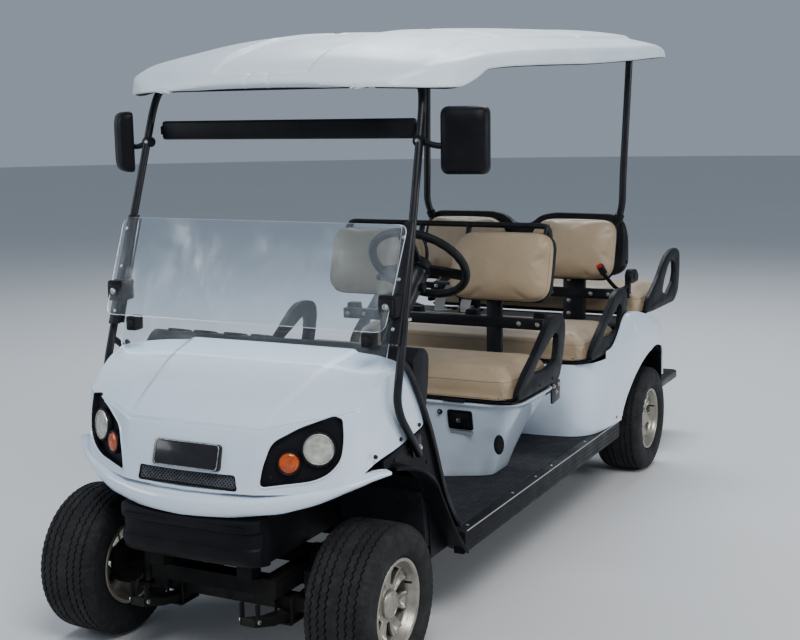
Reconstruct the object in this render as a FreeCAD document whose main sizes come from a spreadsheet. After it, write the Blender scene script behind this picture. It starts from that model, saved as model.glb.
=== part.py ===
import FreeCAD, Part
import math
import os

from FreeCAD import Vector

# Six-seat golf cart: two forward bench rows and one rear-facing bench.
# Millimetres. +X is the cart's left, -Y its front, +Z up, the ground at z = 0.
# Lengths along the cart are given as stations: the distance behind the front axle.

os.makedirs("parts", exist_ok=True)
doc = FreeCAD.newDocument("golf_cart")

# ------------------------------------------------------------------ dimensions
sheet = doc.addObject("Spreadsheet::Sheet", "dims")
# columns: alias, value in millimetres or degrees, what it is
DIMS = [
    ("front_axle_y", -1519.0, "row Y of the front axle"),
    ("wheelbase", 2449.0, "front axle to rear axle"),
    ("axle_z", 228.5, "wheel centre height"),
    ("front_wheel_x", 458.0, "front wheel centre plane"),
    ("rear_wheel_x", 474.0, "rear wheel centre plane"),
    ("tyre_radius", 228.5, "outside radius of a tyre"),
    ("tyre_width", 202.0, "width of a tyre"),
    ("tyre_bore", 128.0, "inside radius of a tyre"),
    ("rim_flange", 133.0, "rim flange radius"),
    ("rim_well", 118.0, "rim barrel radius"),
    ("rim_width", 178.0, "width over the rim flanges"),
    ("hub_radius", 32.0, "wheel hub cap radius"),
    ("spoke_hole", 17.0, "radius of the holes between the spokes"),
    ("spoke_count", 7.0, "holes in a rim"),
    ("kingpin_x", 310.0, "kingpin axis"),
    ("kingpin_radius", 20.0, "kingpin barrel radius"),
    ("kingpin_half", 52.0, "half height of the kingpin barrel"),
    ("steer_x", 260.0, "steering wheel centre"),
    ("steer_st", 750.0, "steering wheel centre station"),
    ("steer_z", 1090.0, "steering wheel centre height"),
    ("steer_tilt", 45.0, "tilt of the steering wheel"),
    ("steer_ring", 160.0, "steering wheel ring radius"),
    ("steer_bar", 13.0, "steering wheel ring section radius"),
    ("floor_z", 305.0, "top of the floor mat"),
    ("floor_thick", 18.0, "floor pan with mat"),
    ("floor_half", 517.0, "half width of the floor"),
    ("sill_x", 510.0, "inner face of a sill"),
    ("sill_wide", 40.0, "sill width"),
    ("sill_low", 232.0, "sill underside"),
    ("sill_high", 72.5, "sill height"),
    ("sill_start", 400.0, "front end of a sill"),
    ("sill_long", 1640.0, "sill length"),
    ("rail_x", 165.0, "inner face of a frame rail"),
    ("rail_wide", 50.0, "frame rail width"),
    ("tow_hole", 8.0, "radius of the towing pin hole in the rear cross-member"),
        ("seat_half", 516.0, "half width of a bench"),
    ("base_thick", 22.0, "seat pan thickness"),
    ("pad_thick", 82.0, "bench cushion thickness"),
    ("skin", 6.0, "moulded body panel thickness"),
]
for row, (alias, value, words) in enumerate(DIMS, start=1):
    sheet.set("A%d" % row, words)
    sheet.set("B%d" % row, str(value))
    sheet.setAlias("B%d" % row, alias)
doc.recompute()


def dim(alias):
    return float(sheet.get(alias))


FY = dim("front_axle_y")
SK = dim("skin")


def V(x, st, z):
    """A point at x, a station behind the front axle, and a height."""
    return Vector(x, st + FY, z)


# ------------------------------------------------------------------ shape helpers
def box(x0, x1, s0, s1, z0, z1):
    return Part.makeBox(x1 - x0, s1 - s0, z1 - z0, V(x0, s0, z0))


def face(points):
    return Part.Face(Part.makePolygon(points + [points[0]]))


def side_slab(profile, x0, x1):
    """Extrude a (station, z) outline from x0 to x1."""
    return face([V(x0, s, z) for s, z in profile]).extrude(Vector(x1 - x0, 0, 0))


def front_slab(profile, s0, s1):
    """Extrude an (x, z) outline from station s0 to s1."""
    return face([V(x, s0, z) for x, z in profile]).extrude(Vector(0, s1 - s0, 0))


def rod(a, b, radius):
    axis = b.sub(a)
    return Part.makeCylinder(radius, axis.Length, a, axis)


def tube_path(points, radius):
    """Round bar through points, with a ball at each turn."""
    solid = rod(points[0], points[1], radius)
    for a, b in zip(points[1:], points[2:]):
        solid = solid.fuse([Part.makeSphere(radius, a), rod(a, b, radius)])
    return solid


def mirror_x(shape):
    return shape.mirror(Vector(0, 0, 0), Vector(1, 0, 0))


def both(shape):
    return Part.makeCompound([shape, mirror_x(shape)])


def fuse_all(shapes):
    first = shapes[0]
    return first.fuse(shapes[1:]).removeSplitter() if len(shapes) > 1 else first


def loft(wires, ruled=True):
    return Part.makeLoft(wires, True, ruled)


def ring(points):
    return Part.makePolygon(points + [points[0]])


def rounded(points, radius):
    """Closed wire through points in one plane, each corner an arc of that radius."""
    edges, n, ends = [], len(points), []
    for i in range(n):
        p, a, b = points[i], points[i - 1], points[(i + 1) % n]
        u = a.sub(p).normalize()
        v = b.sub(p).normalize()
        half = u.getAngle(v) / 2.0
        back = radius / math.tan(half)
        mid = u.add(v).normalize().multiply(radius / math.sin(half) - radius)
        ends.append((p.add(u.multiply(back)), p.add(mid), p.add(v.multiply(back))))
    for i in range(n):
        p0, pm, p1 = ends[i]
        edges.append(Part.Arc(p0, pm, p1).toShape())
        nxt = ends[(i + 1) % n][0]
        if p1.distanceToPoint(nxt) > 1e-4:
            edges.append(Part.LineSegment(p1, nxt).toShape())
    return Part.Wire(edges)


NODES = []


def feature(label, shape, placement=None):
    """A sub-part whose shape is worked out from the sheet's values."""
    obj = doc.addObject("Part::Feature", label)
    obj.Label = label
    obj.Shape = shape
    obj.Placement = placement or FreeCAD.Placement()
    NODES.append(obj)
    return obj


def plane_of(body, role):
    for item in body.Origin.OriginFeatures:
        if item.Role == role:
            return item
    raise RuntimeError(role)


def polygon_sketch(body, name, role, points):
    """Sketch of straight edges on one of the body's own origin planes."""
    sk = body.newObject("Sketcher::SketchObject", name)
    sk.AttachmentSupport = [(plane_of(body, role), "")]
    sk.MapMode = "FlatFace"
    n = len(points)
    for i in range(n):
        a, b = points[i], points[(i + 1) % n]
        sk.addGeometry(Part.LineSegment(Vector(a[0], a[1], 0), Vector(b[0], b[1], 0)), False)
    return sk


# ------------------------------------------------------------------ wheels
# A rim is turned about its axle from a half section, then holed between the spokes.
# columns: distance from the wheel's centre plane (outward positive), radius
RIM_SECTION = [
    (-89, 122), (-89, 133), (-82, 133), (-79, 124), (-20, 116), (79, 124), (82, 133), (89, 133),
    (89, 122), (72, 112), (56, 92), (50, 40), (62, 32), (62, 0), (30, 0), (30, 40), (36, 92),
    (44, 106), (-20, 108), (-72, 113),
]
# columns: distance from the wheel's centre plane, radius
TYRE_SECTION = [
    (-78.6, 124.5), (-81.6, 133.6), (-90, 136.4), (-100, 160), (-101, 190), (-92, 214), (-74, 226), (-40, 228.5),
    (40, 228.5), (74, 226), (92, 214), (101, 190), (100, 160), (90, 136.4), (81.6, 133.6), (78.6, 124.5), (-20, 116.5),
]


def turned_body(label, section, holes=0):
    body = doc.addObject("PartDesign::Body", label)
    body.Label = label
    sk = polygon_sketch(body, label + "_section", "XY_Plane", section)
    rev = body.newObject("PartDesign::Revolution", label + "_turn")
    rev.Profile = sk
    rev.ReferenceAxis = (sk, ["H_Axis"])
    rev.Angle = 360.0
    sk.Visibility = False
    doc.recompute()
    if holes:
        before = rev.Shape.Volume
        hs = body.newObject("Sketcher::SketchObject", label + "_hole")
        hs.AttachmentSupport = [(plane_of(body, "YZ_Plane"), "")]
        hs.MapMode = "FlatFace"
        hs.addGeometry(Part.Circle(Vector(68, 0, 0), Vector(0, 0, 1), 17.0), False)
        import Sketcher
        num = hs.addConstraint(Sketcher.Constraint("Radius", 0, 17.0))
        hs.renameConstraint(num, "hole_r")
        hs.setExpression("Constraints.hole_r", "dims.spoke_hole")
        pocket = body.newObject("PartDesign::Pocket", label + "_pocket")
        pocket.Profile = hs
        pocket.Type = 1
        pocket.Midplane = True
        doc.recompute()
        if pocket.Shape.Volume >= before - 1.0:
            raise RuntimeError("pocket cut nothing")
        pattern = body.newObject("PartDesign::PolarPattern", label + "_spokes")
        pattern.Originals = [pocket]
        pattern.Axis = (plane_of(body, "X_Axis"), [""])
        pattern.Angle = 360.0
        pattern.Occurrences = holes
        pattern.setExpression("Occurrences", "dims.spoke_count")
        body.Tip = pattern
        doc.recompute()
    return body


# columns: name, side of the cart, wheel plane alias, station expression
WHEELS = [
    ("fl", 1, "front_wheel_x", "0"),
    ("fr", -1, "front_wheel_x", "0"),
    ("rl", 1, "rear_wheel_x", "dims.wheelbase"),
    ("rr", -1, "rear_wheel_x", "dims.wheelbase"),
]
for name, hand, plane, station in WHEELS:
    for kind, section, holes in (("rim", RIM_SECTION, 7), ("tyre", TYRE_SECTION, 0)):
        label = "%s_%s" % (kind, name)
        body = turned_body(label, [(hand * a, r) for a, r in section], holes)
        body.setExpression("Placement.Base.x", "%d * dims.%s" % (hand, plane))
        body.setExpression("Placement.Base.y", "dims.front_axle_y + %s" % station)
        body.setExpression("Placement.Base.z", "dims.axle_z")
        NODES.append(body)

# ------------------------------------------------------------------ front axle and steering
AZ, KX = dim("axle_z"), dim("kingpin_x")
KR, KH = dim("kingpin_radius"), dim("kingpin_half")


def yoke(hand):
    """Fork that holds a kingpin barrel top and bottom."""
    parts = [box(-40, 26, -24, 24, AZ + KH + 1, AZ + KH + 13), box(-40, 26, -24, 24, AZ - KH - 13, AZ - KH - 1),
             box(-56, -32, -20, 20, AZ - KH - 13, AZ + KH + 13)]
    shape = fuse_all(parts)
    shape.translate(Vector(KX, 0, 0))
    return shape if hand > 0 else mirror_x(shape)


beam = box(-270, 270, -24, 24, AZ - 60, AZ - 20)
feature("front_axle", fuse_all([beam, yoke(1), yoke(-1)]))


def knuckle(hand):
    """Kingpin barrel, stub spindle into the wheel hub, and rearward steering arm."""
    barrel = Part.makeCylinder(KR, 2 * KH, V(KX, 0, AZ - KH))
    spindle = rod(V(KX, 0, AZ), V(dim("front_wheel_x") + 29, 0, AZ), 16)
    drum = rod(V(KX + 62, 0, AZ), V(KX + 92, 0, AZ), 70)
    arm = box(KX - 13, KX + 13, 0, 128, AZ - 22, AZ - 10)
    eye = Part.makeCylinder(18, 12, V(KX, 128, AZ - 22))
    shape = fuse_all([barrel, spindle, drum, arm, eye])
    return shape if hand > 0 else mirror_x(shape)


feature("knuckle_left", knuckle(1))
feature("knuckle_right", knuckle(-1))
tie_rod = fuse_all([
    Part.makeCylinder(15, 14, V(KX, 128, AZ - 38)), Part.makeCylinder(15, 14, V(-KX, 128, AZ - 38)),
    rod(V(-KX, 128, AZ - 31), V(KX, 128, AZ - 31), 7),
])
feature("tie_rod", tie_rod)

# Steering wheel: ring, hub and three spokes, modelled flat and then tilted towards the driver.
SWR, SWB = dim("steer_ring"), dim("steer_bar")
torus = doc.addObject("Part::Torus", "steering_ring")
torus.setExpression("Radius1", "dims.steer_ring")
torus.setExpression("Radius2", "dims.steer_bar")
hub = doc.addObject("Part::Cylinder", "steering_hub")
hub.Radius, hub.Height = 46, 42
hub.Placement.Base = Vector(0, 0, -30)
spokes = []
# columns: direction of the spoke in the wheel's plane, degrees
for i, angle in enumerate((20, 160, 270)):
    spoke = doc.addObject("Part::Box", "steering_spoke_%d" % i)
    spoke.setExpression("Length", "dims.steer_ring")
    spoke.Width, spoke.Height = 44, 12
    turn = FreeCAD.Rotation(Vector(0, 0, 1), angle)
    spoke.Placement = FreeCAD.Placement(turn.multVec(Vector(0, -22, -8)), turn)
    spokes.append(spoke)
wheel_fuse = doc.addObject("Part::MultiFuse", "steering_wheel")
wheel_fuse.Label = "steering_wheel"
wheel_fuse.Shapes = [torus, hub] + spokes
wheel_fuse.Placement = FreeCAD.Placement(
    V(dim("steer_x"), dim("steer_st"), dim("steer_z")), FreeCAD.Rotation(Vector(1, 0, 0), -dim("steer_tilt")))
NODES.append(wheel_fuse)

SWC = V(dim("steer_x"), dim("steer_st"), dim("steer_z"))
TILT = math.radians(dim("steer_tilt"))
DOWN = Vector(0, -math.sin(TILT), -math.cos(TILT))


def along(distance):
    return SWC.add(Vector(DOWN).multiply(distance))


shroud = Part.makeCone(42, 30, 150, along(34), DOWN)
column = fuse_all([shroud, rod(along(180), along(575), 22)])
feature("steering_column", column)

# ------------------------------------------------------------------ frame, axle and springs
RX, RW = dim("rail_x"), dim("rail_wide")
# side outline of a frame rail, kicked up over the rear axle; columns: station, z
RAIL = [
    (-110, 232), (-110, 287), (2110, 287), (2210, 392), (2740, 392), (2800, 292), (3200, 260),
    (3200, 232), (2770, 232), (2690, 326), (2250, 326), (2160, 214), (120, 214), (60, 232),
]
rail = side_slab(RAIL, RX, RX + RW)
frame_parts = [rail, mirror_x(rail)]
# cross-members; columns: station, length along the cart, low z, high z, half width
CROSS = [
    (-110, 60, 236, 282, RX + 10), (200, 50, 225, 275, RX + 10), (620, 60, 225, 275, dim("floor_half") - 12),
    (1120, 60, 225, 275, dim("floor_half") - 12), (1560, 60, 225, 275, dim("floor_half") - 12),
    (1960, 60, 225, 275, dim("floor_half") - 12), (2300, 60, 335, 392, 305), (2640, 60, 335, 385, RX + 10),
    (3120, 50, 236, 258, RX + 10),
]
for st, length, low, high, half in CROSS:
    frame_parts.append(box(-half, half, st, st + length, low, high))
tow_hole = Part.makeCylinder(dim("tow_hole"), 60, V(0, 3145, 220))
feature("chassis_frame", fuse_all(frame_parts).cut(tow_hole))

WB = dim("wheelbase")
axle_tube = rod(V(-dim("rear_wheel_x") - 29, WB, AZ), V(dim("rear_wheel_x") + 29, WB, AZ), 27)
diff = rod(V(-70, WB, AZ), V(70, WB, AZ), 88)
drums = [rod(V(h * 380, WB, AZ), V(h * 412, WB, AZ), 84) for h in (1, -1)]
feature("rear_axle", fuse_all([axle_tube, diff] + drums))

# leaf springs; columns: centre station, half length, low z, lift of the ends
SPRINGS = [(0, 215, 136, 50), (2449, 215, 168, 100)]
leaf_parts = []
for st, half, low, lift in SPRINGS:
    arc = [(st - half, low + lift), (st - half * 0.55, low + lift * 0.4), (st, low), (st + half * 0.55, low + lift * 0.4),
           (st + half, low + lift)]
    outline = arc + [(s, z + 24) for s, z in reversed(arc)]
    leaf = side_slab(outline, RX + 2, RX + 46)
    leaf_parts += [leaf, mirror_x(leaf)]
feature("leaf_springs", Part.makeCompound(leaf_parts))

# engine and transaxle as one plain mass between the rails, under the second bench
power = doc.addObject("Part::Box", "power_block")
power.Label = "power_block"
power.Length, power.Width, power.Height = 320, 330, 250
power.Placement.Base = V(-160, 1830, 330)
NODES.append(power)

# ------------------------------------------------------------------ floor, sills, foot platform
FH, FZ, FT = dim("floor_half"), dim("floor_z"), dim("floor_thick")
floor = box(-FH + 8, FH - 8, 335, 2030, FZ - FT, FZ)
toe = side_slab([(335, FZ - FT), (335, FZ + 4), (276, 620), (262, 620), (310, FZ - FT)], -FH + 68, FH - 68)
feature("floor_mat", fuse_all([floor, toe]))

sill = doc.addObject("PartDesign::Body", "sill_section")
sk = polygon_sketch(sill, "sill_outline", "XZ_Plane", [(0, 0), (34, 0), (40, 8), (40, 68), (35.5, 72.5), (0, 72.5)])
pad = sill.newObject("PartDesign::Pad", "sill_run")
pad.Profile = sk
pad.setExpression("Length", "dims.sill_long")
pad.Reversed = True
doc.recompute()
sill_shape = sill.Shape.copy()
low_y = sill_shape.BoundBox.YMin
sill_shape.translate(V(dim("sill_x"), dim("sill_start") - low_y, dim("sill_low")))
feature("sills", both(sill_shape))

platform = side_slab([(2900, 252), (3276, 252), (3290, 262), (3290, 284), (3274, 290), (2900, 290)], -470, 470)
under = box(-456, 456, 2912, 3268, 240, 275)
feature("rear_platform", platform.cut(under).cut(box(-226, 226, 2880, 3210, 200, 285)))

# ------------------------------------------------------------------ front cowl
def plan_ring(z, half_points, back, off):
    """Closed plan outline from points of its left half, centre outwards, with a straight rear edge."""
    left = [(max(x - off, 0.0), s + off) for x, s in half_points]
    h = left[-1][0]
    right = [(-x, s) for x, s in reversed(left) if x > 0]
    return ring([V(x, s, z) for x, s in [(-h, back)] + right + left + [(h, back)]])


# plan of the nose at its foot and at its crease; columns: x, station
FOOT = [(0, -232), (162, -216), (230, -200), (410, -112), (452, -80), (488, 30)]
CREASE = [(0, -190), (162, -186), (228, -184), (412, -86), (450, -62), (488, 30)]
# bonnet cross-sections; columns: station, half width, z at the side, z at the crown
BONNET = [(-186, 228, 731, 736), (-86, 412, 772, 788), (-62, 450, 782, 800), (30, 488, 806, 838), (130, 493, 838, 868),
          (240, 494, 868, 892)]


def nose_solid(off):
    """Nose face below the crease."""
    return loft([plan_ring(548 - off, FOOT, 122, off), plan_ring(734 - off, CREASE, 122, off)])


def bonnet_solid(off):
    """Bonnet above the crease, down to the side panels' height."""
    rings = []
    for st, half, zs, zc in BONNET:
        h = half - off
        rings.append(ring([V(-h, st + off, 640), V(-h, st + off, zs - off), V(-0.55 * h, st + off, zc - off),
                           V(0.55 * h, st + off, zc - off), V(h, st + off, zs - off), V(h, st + off, 640)]))
    return loft(rings)


# skirt round the nose: low in the middle, rising to the sides; columns: part of the half width
LIP_AT = [-1.0, -0.86, -0.66, -0.36, 0.0, 0.36, 0.66, 0.86, 1.0]


def lip_solid(off, low):
    rings = []
    for t in LIP_AT:
        q = abs(t)
        s = -252 + 236 * q ** 2 + off
        z0, z1 = 493 + 106 * q ** 2.4 - low, 548 + 88 * q ** 2.2 - off
        x = t * (545 - off)
        rings.append(ring([V(x, s, z0), V(x, s - 0, z1 - 8), V(x, s + 10, z1), V(x, s + 78, z1 + 6), V(x, s + 78, z0)]))
    return loft(rings)


cowl = nose_solid(0).fuse([bonnet_solid(0), lip_solid(0, 0)])
# white side panel behind the lower strut, down to the black fender; columns: station, z
CHEEK = [(-60, 622), (20, 634), (283, 676), (244, 757), (207, 820), (157, 873), (60, 850), (-60, 780)]
cheek = side_slab(CHEEK, 440, 494)
cowl = cowl.fuse([cheek, mirror_x(cheek)])
hollow = nose_solid(SK).fuse([bonnet_solid(SK), lip_solid(SK, 20)])
cheek_in = side_slab([(-66, 600), (14, 600), (300, 640), (300, 690), (210, 800), (157, 864), (60, 844), (-54, 774)], 430, 483)
cowl = cowl.cut(hollow.fuse([cheek_in, mirror_x(cheek_in)]))
cowl = cowl.cut(box(-482, 482, 236, 320, 400, 1000)).cut(box(-482, 482, 60, 320, 400, 770))
below = side_slab([(22, 500), (22, 631), (286, 672), (330, 672), (330, 500)], 470, 500)
cowl = cowl.cut(below).cut(mirror_x(below))
# the outer skin ends on the fender's edge
behind = side_slab([(287, 650), (246, 757), (209, 820), (158.5, 873.5), (150, 960), (330, 960), (330, 650)], 484.4, 500)
cowl = cowl.cut(behind).cut(mirror_x(behind))
# the cut leaves a loose strip of the nose on each side; only the main moulding stays
cowl = max(cowl.Solids, key=lambda solid: solid.Volume).removeSplitter()

# lamp places: a swept-back polygon each side, in one plane
# columns: x, station, z
BEZEL = [(230, -201, 583), (238, -191, 640), (259, -173, 705), (332, -132, 745), (403, -93, 771), (425, -82, 766),
         (429, -86, 712), (424, -95, 656), (397, -113, 620), (358, -134, 601)]
LAMP_N = Vector(0.448, -0.8884, 0.0997).normalize()


def bezel_slab(out_by, in_by):
    pts = [V(x, s, z) for x, s, z in BEZEL]
    centre = V(326, -143, 673)
    flat = [p.sub(Vector(LAMP_N).multiply(p.sub(centre).dot(LAMP_N))) for p in pts]
    start = [p.add(Vector(LAMP_N).multiply(out_by)) for p in flat]
    return face(start).extrude(Vector(LAMP_N).multiply(-(out_by + in_by))), centre


bezel, bezel_centre = bezel_slab(3, 30)
HEADLAMP = V(371, -119, 685)
MARKER = V(299, -157, 648)


def disc(centre, radius, out_by, in_by):
    base = centre.sub(Vector(LAMP_N).multiply(centre.sub(bezel_centre).dot(LAMP_N)))
    return Part.makeCylinder(radius, out_by + in_by, base.sub(Vector(LAMP_N).multiply(in_by)), LAMP_N)


holes = disc(HEADLAMP, 49, 40, 14).fuse([disc(MARKER, 35, 40, 14)])
feature("headlamp_bezels", both(bezel.cut(holes)))
lamps = [disc(HEADLAMP, 48, 5, 13.5), disc(MARKER, 34, 6, 13.5)]
feature("lamps", Part.makeCompound(lamps + [mirror_x(part) for part in lamps]))
room = bezel_slab(60, 30)[0]
cowl = cowl.cut(room).cut(mirror_x(room))

grille = face([V(-164, -225, 570), V(164, -225, 570), V(158, -215, 612), V(-158, -215, 612)]).extrude(Vector(0, 22, 0))
grille_room = front_slab([(-164, 570), (164, 570), (158, 612), (-158, 612)], -300, -180)
cowl = cowl.cut(grille_room)
feature("grille", grille)
nameplate = face([V(-111, -222, 619), V(111, -222, 619), V(111, -200, 692), V(-111, -200, 692)]).extrude(Vector(0, 16, 4))
cowl = cowl.cut(nameplate)
feature("nameplate", nameplate)
feature("front_cowl", cowl)

bumper = side_slab([(-236, 366), (-246, 386), (-246, 418), (-235, 428), (-235, 442), (-246, 452), (-246, 476), (-238, 484),
                    (-160, 484), (-160, 354), (-226, 354)], -235, 235)
feature("front_bumper", bumper)

# black fender behind each front wheel: a side panel, a flared lip and a roof over the wheel; columns: station, z
FENDER = [(26, 629), (286, 670), (249, 759), (212, 822), (161, 876), (170, 888), (221, 829), (260, 763),
          (301, 680), (346, 575), (396, 480), (450, 388), (506, 306), (472, 233), (374, 343), (291, 457), (242, 524),
          (154, 581), (70, 601), (26, 605)]
FLARE = [(70, 601), (154, 581), (242, 524), (291, 457), (374, 343), (472, 233), (444, 233), (360, 335),
         (278, 449), (232, 515), (148, 570), (70, 589)]
fender = side_slab(FENDER, 485, 494).fuse([side_slab(FLARE, 485, 562)])
fender = fender.fuse([box(215, 490, 30, 258, 600, 606), box(215, 221, -60, 258, 470, 606)])
fender = fender.cut(box(400, 551.5, 335, 600, 200, 305.3))
feature("splash_panels", both(fender))

dash = side_slab([(246, 640), (246, 880), (300, 902), (356, 872), (330, 700), (300, 625)], -478, 478)
feature("dash", dash.cut(rod(along(400), along(600), 23)))

# ------------------------------------------------------------------ windshield, struts, roof
# the front struts lean back; the lower glass stands between them and the folded upper glass hangs ahead of it
LEAN = 0.3154


def screen_st(z):
    return 132 + (z - 950) * LEAN


def glass(points, thick):
    """Flat sheet from (x, station, z) corners of its left half, top to bottom, mirrored."""
    half = [V(x, s, z) for x, s, z in points]
    return face(half + [Vector(-p.x, p.y, p.z) for p in reversed(half)]).extrude(Vector(0, thick, 0))


LOWER_GLASS = [(462, 1266), (466, 960), (463, 890), (446, 862), (410, 856), (300, 872)]
feature("windshield_lower", glass([(x, screen_st(z) - 8, z) for x, z in LOWER_GLASS], 5))
feature("windshield_upper", glass([(495, 191, 1270), (481, 62, 982)], 5.4))

# front hoop, from the left strut's foot over the top to the right one's; columns: x, station, z
HOOP = [(510, 217, 603), (510, 157, 674), (509, 104, 734), (507.5, 84, 785), (507, 96, 840), (504, 132, 950), (476, 337, 1600),
        (466, 356, 1655), (430, 366, 1688), (380, 369, 1697)]
hoop_pts = [V(x, s, z) for x, s, z in HOOP]
hoop_pts = hoop_pts + [Vector(-p.x, p.y, p.z) for p in reversed(hoop_pts)]
hoop = tube_path(hoop_pts, 12)


def flange(hand):
    """Flat of the strut that carries the lower glass."""
    pts = [V(hand * x, s, z) for x, s, z in ((468, 96, 945), (468, 216, 1275), (508, 216, 1275), (512, 96, 945))]
    return face(pts).extrude(Vector(0, 26, 0))


feature("front_struts", hoop.fuse([flange(1), flange(-1)]))
feature("mirror_bar", box(-448, 448, 338, 364, 1505, 1566))

# rear struts; columns: x, station, z from the roof down into the row 2 shell
REAR_STRUT = [(471, 2378, 1812), (468, 2362, 1609), (461, 2340, 1300), (461, 2335, 1180), (444, 2346, 1118), (428, 2349, 1080)]
rear_pts = [V(x, s, z) for x, s, z in REAR_STRUT]
rear_tube = tube_path(rear_pts, 15)
feature("rear_struts", both(rear_tube))

# roof: a domed shell with a deep front fascia
# columns: station, half width, z of the edge, z of the shoulder, z of the crown
ROOF = [
    (200, 330, 1654, 1664, 1676),
    (232, 440, 1651, 1682, 1706),
    (300, 525, 1649, 1708, 1746),
    (392, 562, 1650, 1728, 1776),
    (500, 570, 1672, 1744, 1800),
    (610, 572, 1706, 1757, 1822),
    (1000, 572, 1727, 1782, 1852),
    (1567, 572, 1747, 1808, 1882),
    (2480, 572, 1796, 1850, 1916),
    (2660, 545, 1804, 1838, 1894),
]


def roof_solid(off, dz):
    wires = []
    for i, (st, half, edge, shoulder, crown) in enumerate(ROOF):
        s = st + (off if i == 0 else (-off if i == len(ROOF) - 1 else 0))
        h = half - off
        low, mid, top = shoulder - dz, crown - 10 - dz, crown - dz
        if dz:
            low, mid, top = max(low, edge + 4), max(mid, edge + 6), max(top, edge + 8)
        wires.append(ring([V(-h, s, edge), V(-h + 22, s, low), V(-h * 0.45, s, mid), V(0, s, top),
                           V(h * 0.45, s, mid), V(h - 22, s, low), V(h, s, edge)]))
    return loft(wires)


hollow = roof_solid(13, 12)
hollow.translate(Vector(0, 0, -0.5))
roof = roof_solid(0, 0).cut(hollow)
# pads moulded into the roof's underside: two on the front hoop and one on each rear strut
# columns: x, station, half length along x, low z, high z
for x, st, half, z0, z1 in ((300, 369, 40, 1709.3, 1726), (471, 2378, 30, 1812.3, 1846)):
    for hand in (1, -1):
        roof = roof.fuse(box(hand * x - half, hand * x + half, st - 28, st + 28, z0, z1))
roof = roof.cut(hoop).cut(both(rear_tube))
feature("roof_canopy", roof)

# ------------------------------------------------------------------ side mirrors
def side_mirror(hand, angle, x):
    outline = [Vector(-72, 0, -97), Vector(72, 0, -97), Vector(72, 0, 97), Vector(-72, 0, 97)]
    wire = rounded(outline, 24)
    housing = Part.Face(wire).extrude(Vector(0, 50, 0))
    housing.translate(Vector(0, -25, 0))
    housing.rotate(Vector(0, 0, 0), Vector(0, 0, 1), angle)
    housing.translate(V(hand * x, 347, 1500))
    arm = rod(V(hand * 482, 316, 1500), V(hand * 580, 347, 1486), 9)
    return housing.fuse(arm).cut(hoop)


feature("side_mirrors", Part.makeCompound([side_mirror(1, 12, 602), side_mirror(-1, -45, 606)]))

# ------------------------------------------------------------------ front seat pod
def pod_solid(off, z0, z1):
    """Loft from the narrow foot to the wide rim; the front corners are cut off."""
    rings = []
    # columns: z, half width of the front face, half width, stations of the front, of the corner and of the back
    for z, h1, h2, a, c, b in ((305.5, 236, 384, 989, 1066, 1240), (594, 440, 525, 938, 985, 1322)):
        h1, h2, a, c, b = h1 - off / 2, h2 - off, a + off, c + off / 2, b - off
        rings.append(ring([V(-h2, b, z), V(-h2, c, z), V(-h1, a, z), V(h1, a, z), V(h2, c, z), V(h2, b, z)]))
    return loft(rings)


feature("front_seat_pod", pod_solid(0, 305.5, 594).cut(pod_solid(SK, 305.5, 594)))

# ------------------------------------------------------------------ rear body
# side outline; columns: station, z
BODY = [
    (1676, 306), (1676, 606), (1700, 622), (1950, 630), (2045, 687), (2112, 742), (2200, 744), (2290, 723), (2520, 657),
    (2640, 588), (2706, 500), (2718, 400), (2706, 330), (2560, 318), (2000, 306),
]
BODY_IN = [
    (1682, 290), (1682, 602), (1702, 616), (1948, 624), (2042, 681), (2112, 736), (2200, 738), (2288, 717), (2517, 651),
    (2635, 583), (2700, 498), (2712, 400), (2702, 334), (2560, 300), (2000, 290),
]
# half of the plan; columns: x, station
BODY_PLAN = [(211, 1676), (450, 1704), (535, 1832), (559, 2132), (574, 2420), (566, 2620), (540, 2718)]


def plan_solid(off, z0, z1):
    pts = [(x - off, s) for x, s in BODY_PLAN]
    loop = [(-x, s) for x, s in reversed(pts)] + pts
    return face([V(x, s, z0) for x, s in loop]).extrude(Vector(0, 0, z1 - z0))


rear = side_slab(BODY, -600, 600).common(plan_solid(0, 290, 760))
rear = rear.cut(side_slab(BODY_IN, -534, 534).common(plan_solid(12, 280, 760)))
rear = rear.cut(side_slab(BODY_IN, -600, 600).common(plan_solid(SK, 280, 590)).cut(box(-600, 600, 1600, 1682, 280, 600)))
# the benches sit down between the raised sides; a deck behind the second bench carries the back frame
rear = rear.cut(box(-541, 541, 1600, 2168, 594, 900)).cut(box(-541, 541, 2160, 2900, 674, 900))
deck = box(-540, 540, 2168, 2462, 668, 674).fuse([box(-540, 540, 2168, 2174, 560, 674)])
rear = rear.fuse([deck])
# wheel openings; columns: station, z
ARCH = [(2050, 250), (2062, 332), (2140, 420), (2255, 492), (2370, 536), (2491, 553), (2600, 535), (2672, 492), (2698, 420), (2700, 250)]
for hand in (1, -1):
    rear = rear.cut(side_slab(ARCH, hand * 340, hand * 640))
for hand in (1, -1):
    lo, hi = sorted((hand * 200, hand * 302))
    rear = rear.cut(box(lo, hi, 2310, 2352, 600, 700))
# notches where the frame rails leave the tail
for hand in (1, -1):
    lo, hi = sorted((hand * 160, hand * 220))
    rear = rear.cut(box(lo, hi, 2655, 2730, 280, 396))
feature("rear_body", rear.removeSplitter())

# ------------------------------------------------------------------ seats
SH, BT, PT = dim("seat_half"), dim("base_thick"), dim("pad_thick")
# columns: row name, station of the hinged front edge, station of the back edge, z of the pan's underside
BENCHES = [("row1", 926, 1344, 600), ("row2", 1700, 2158, 600), ("row3", 2886, 2462, 680)]
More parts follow.
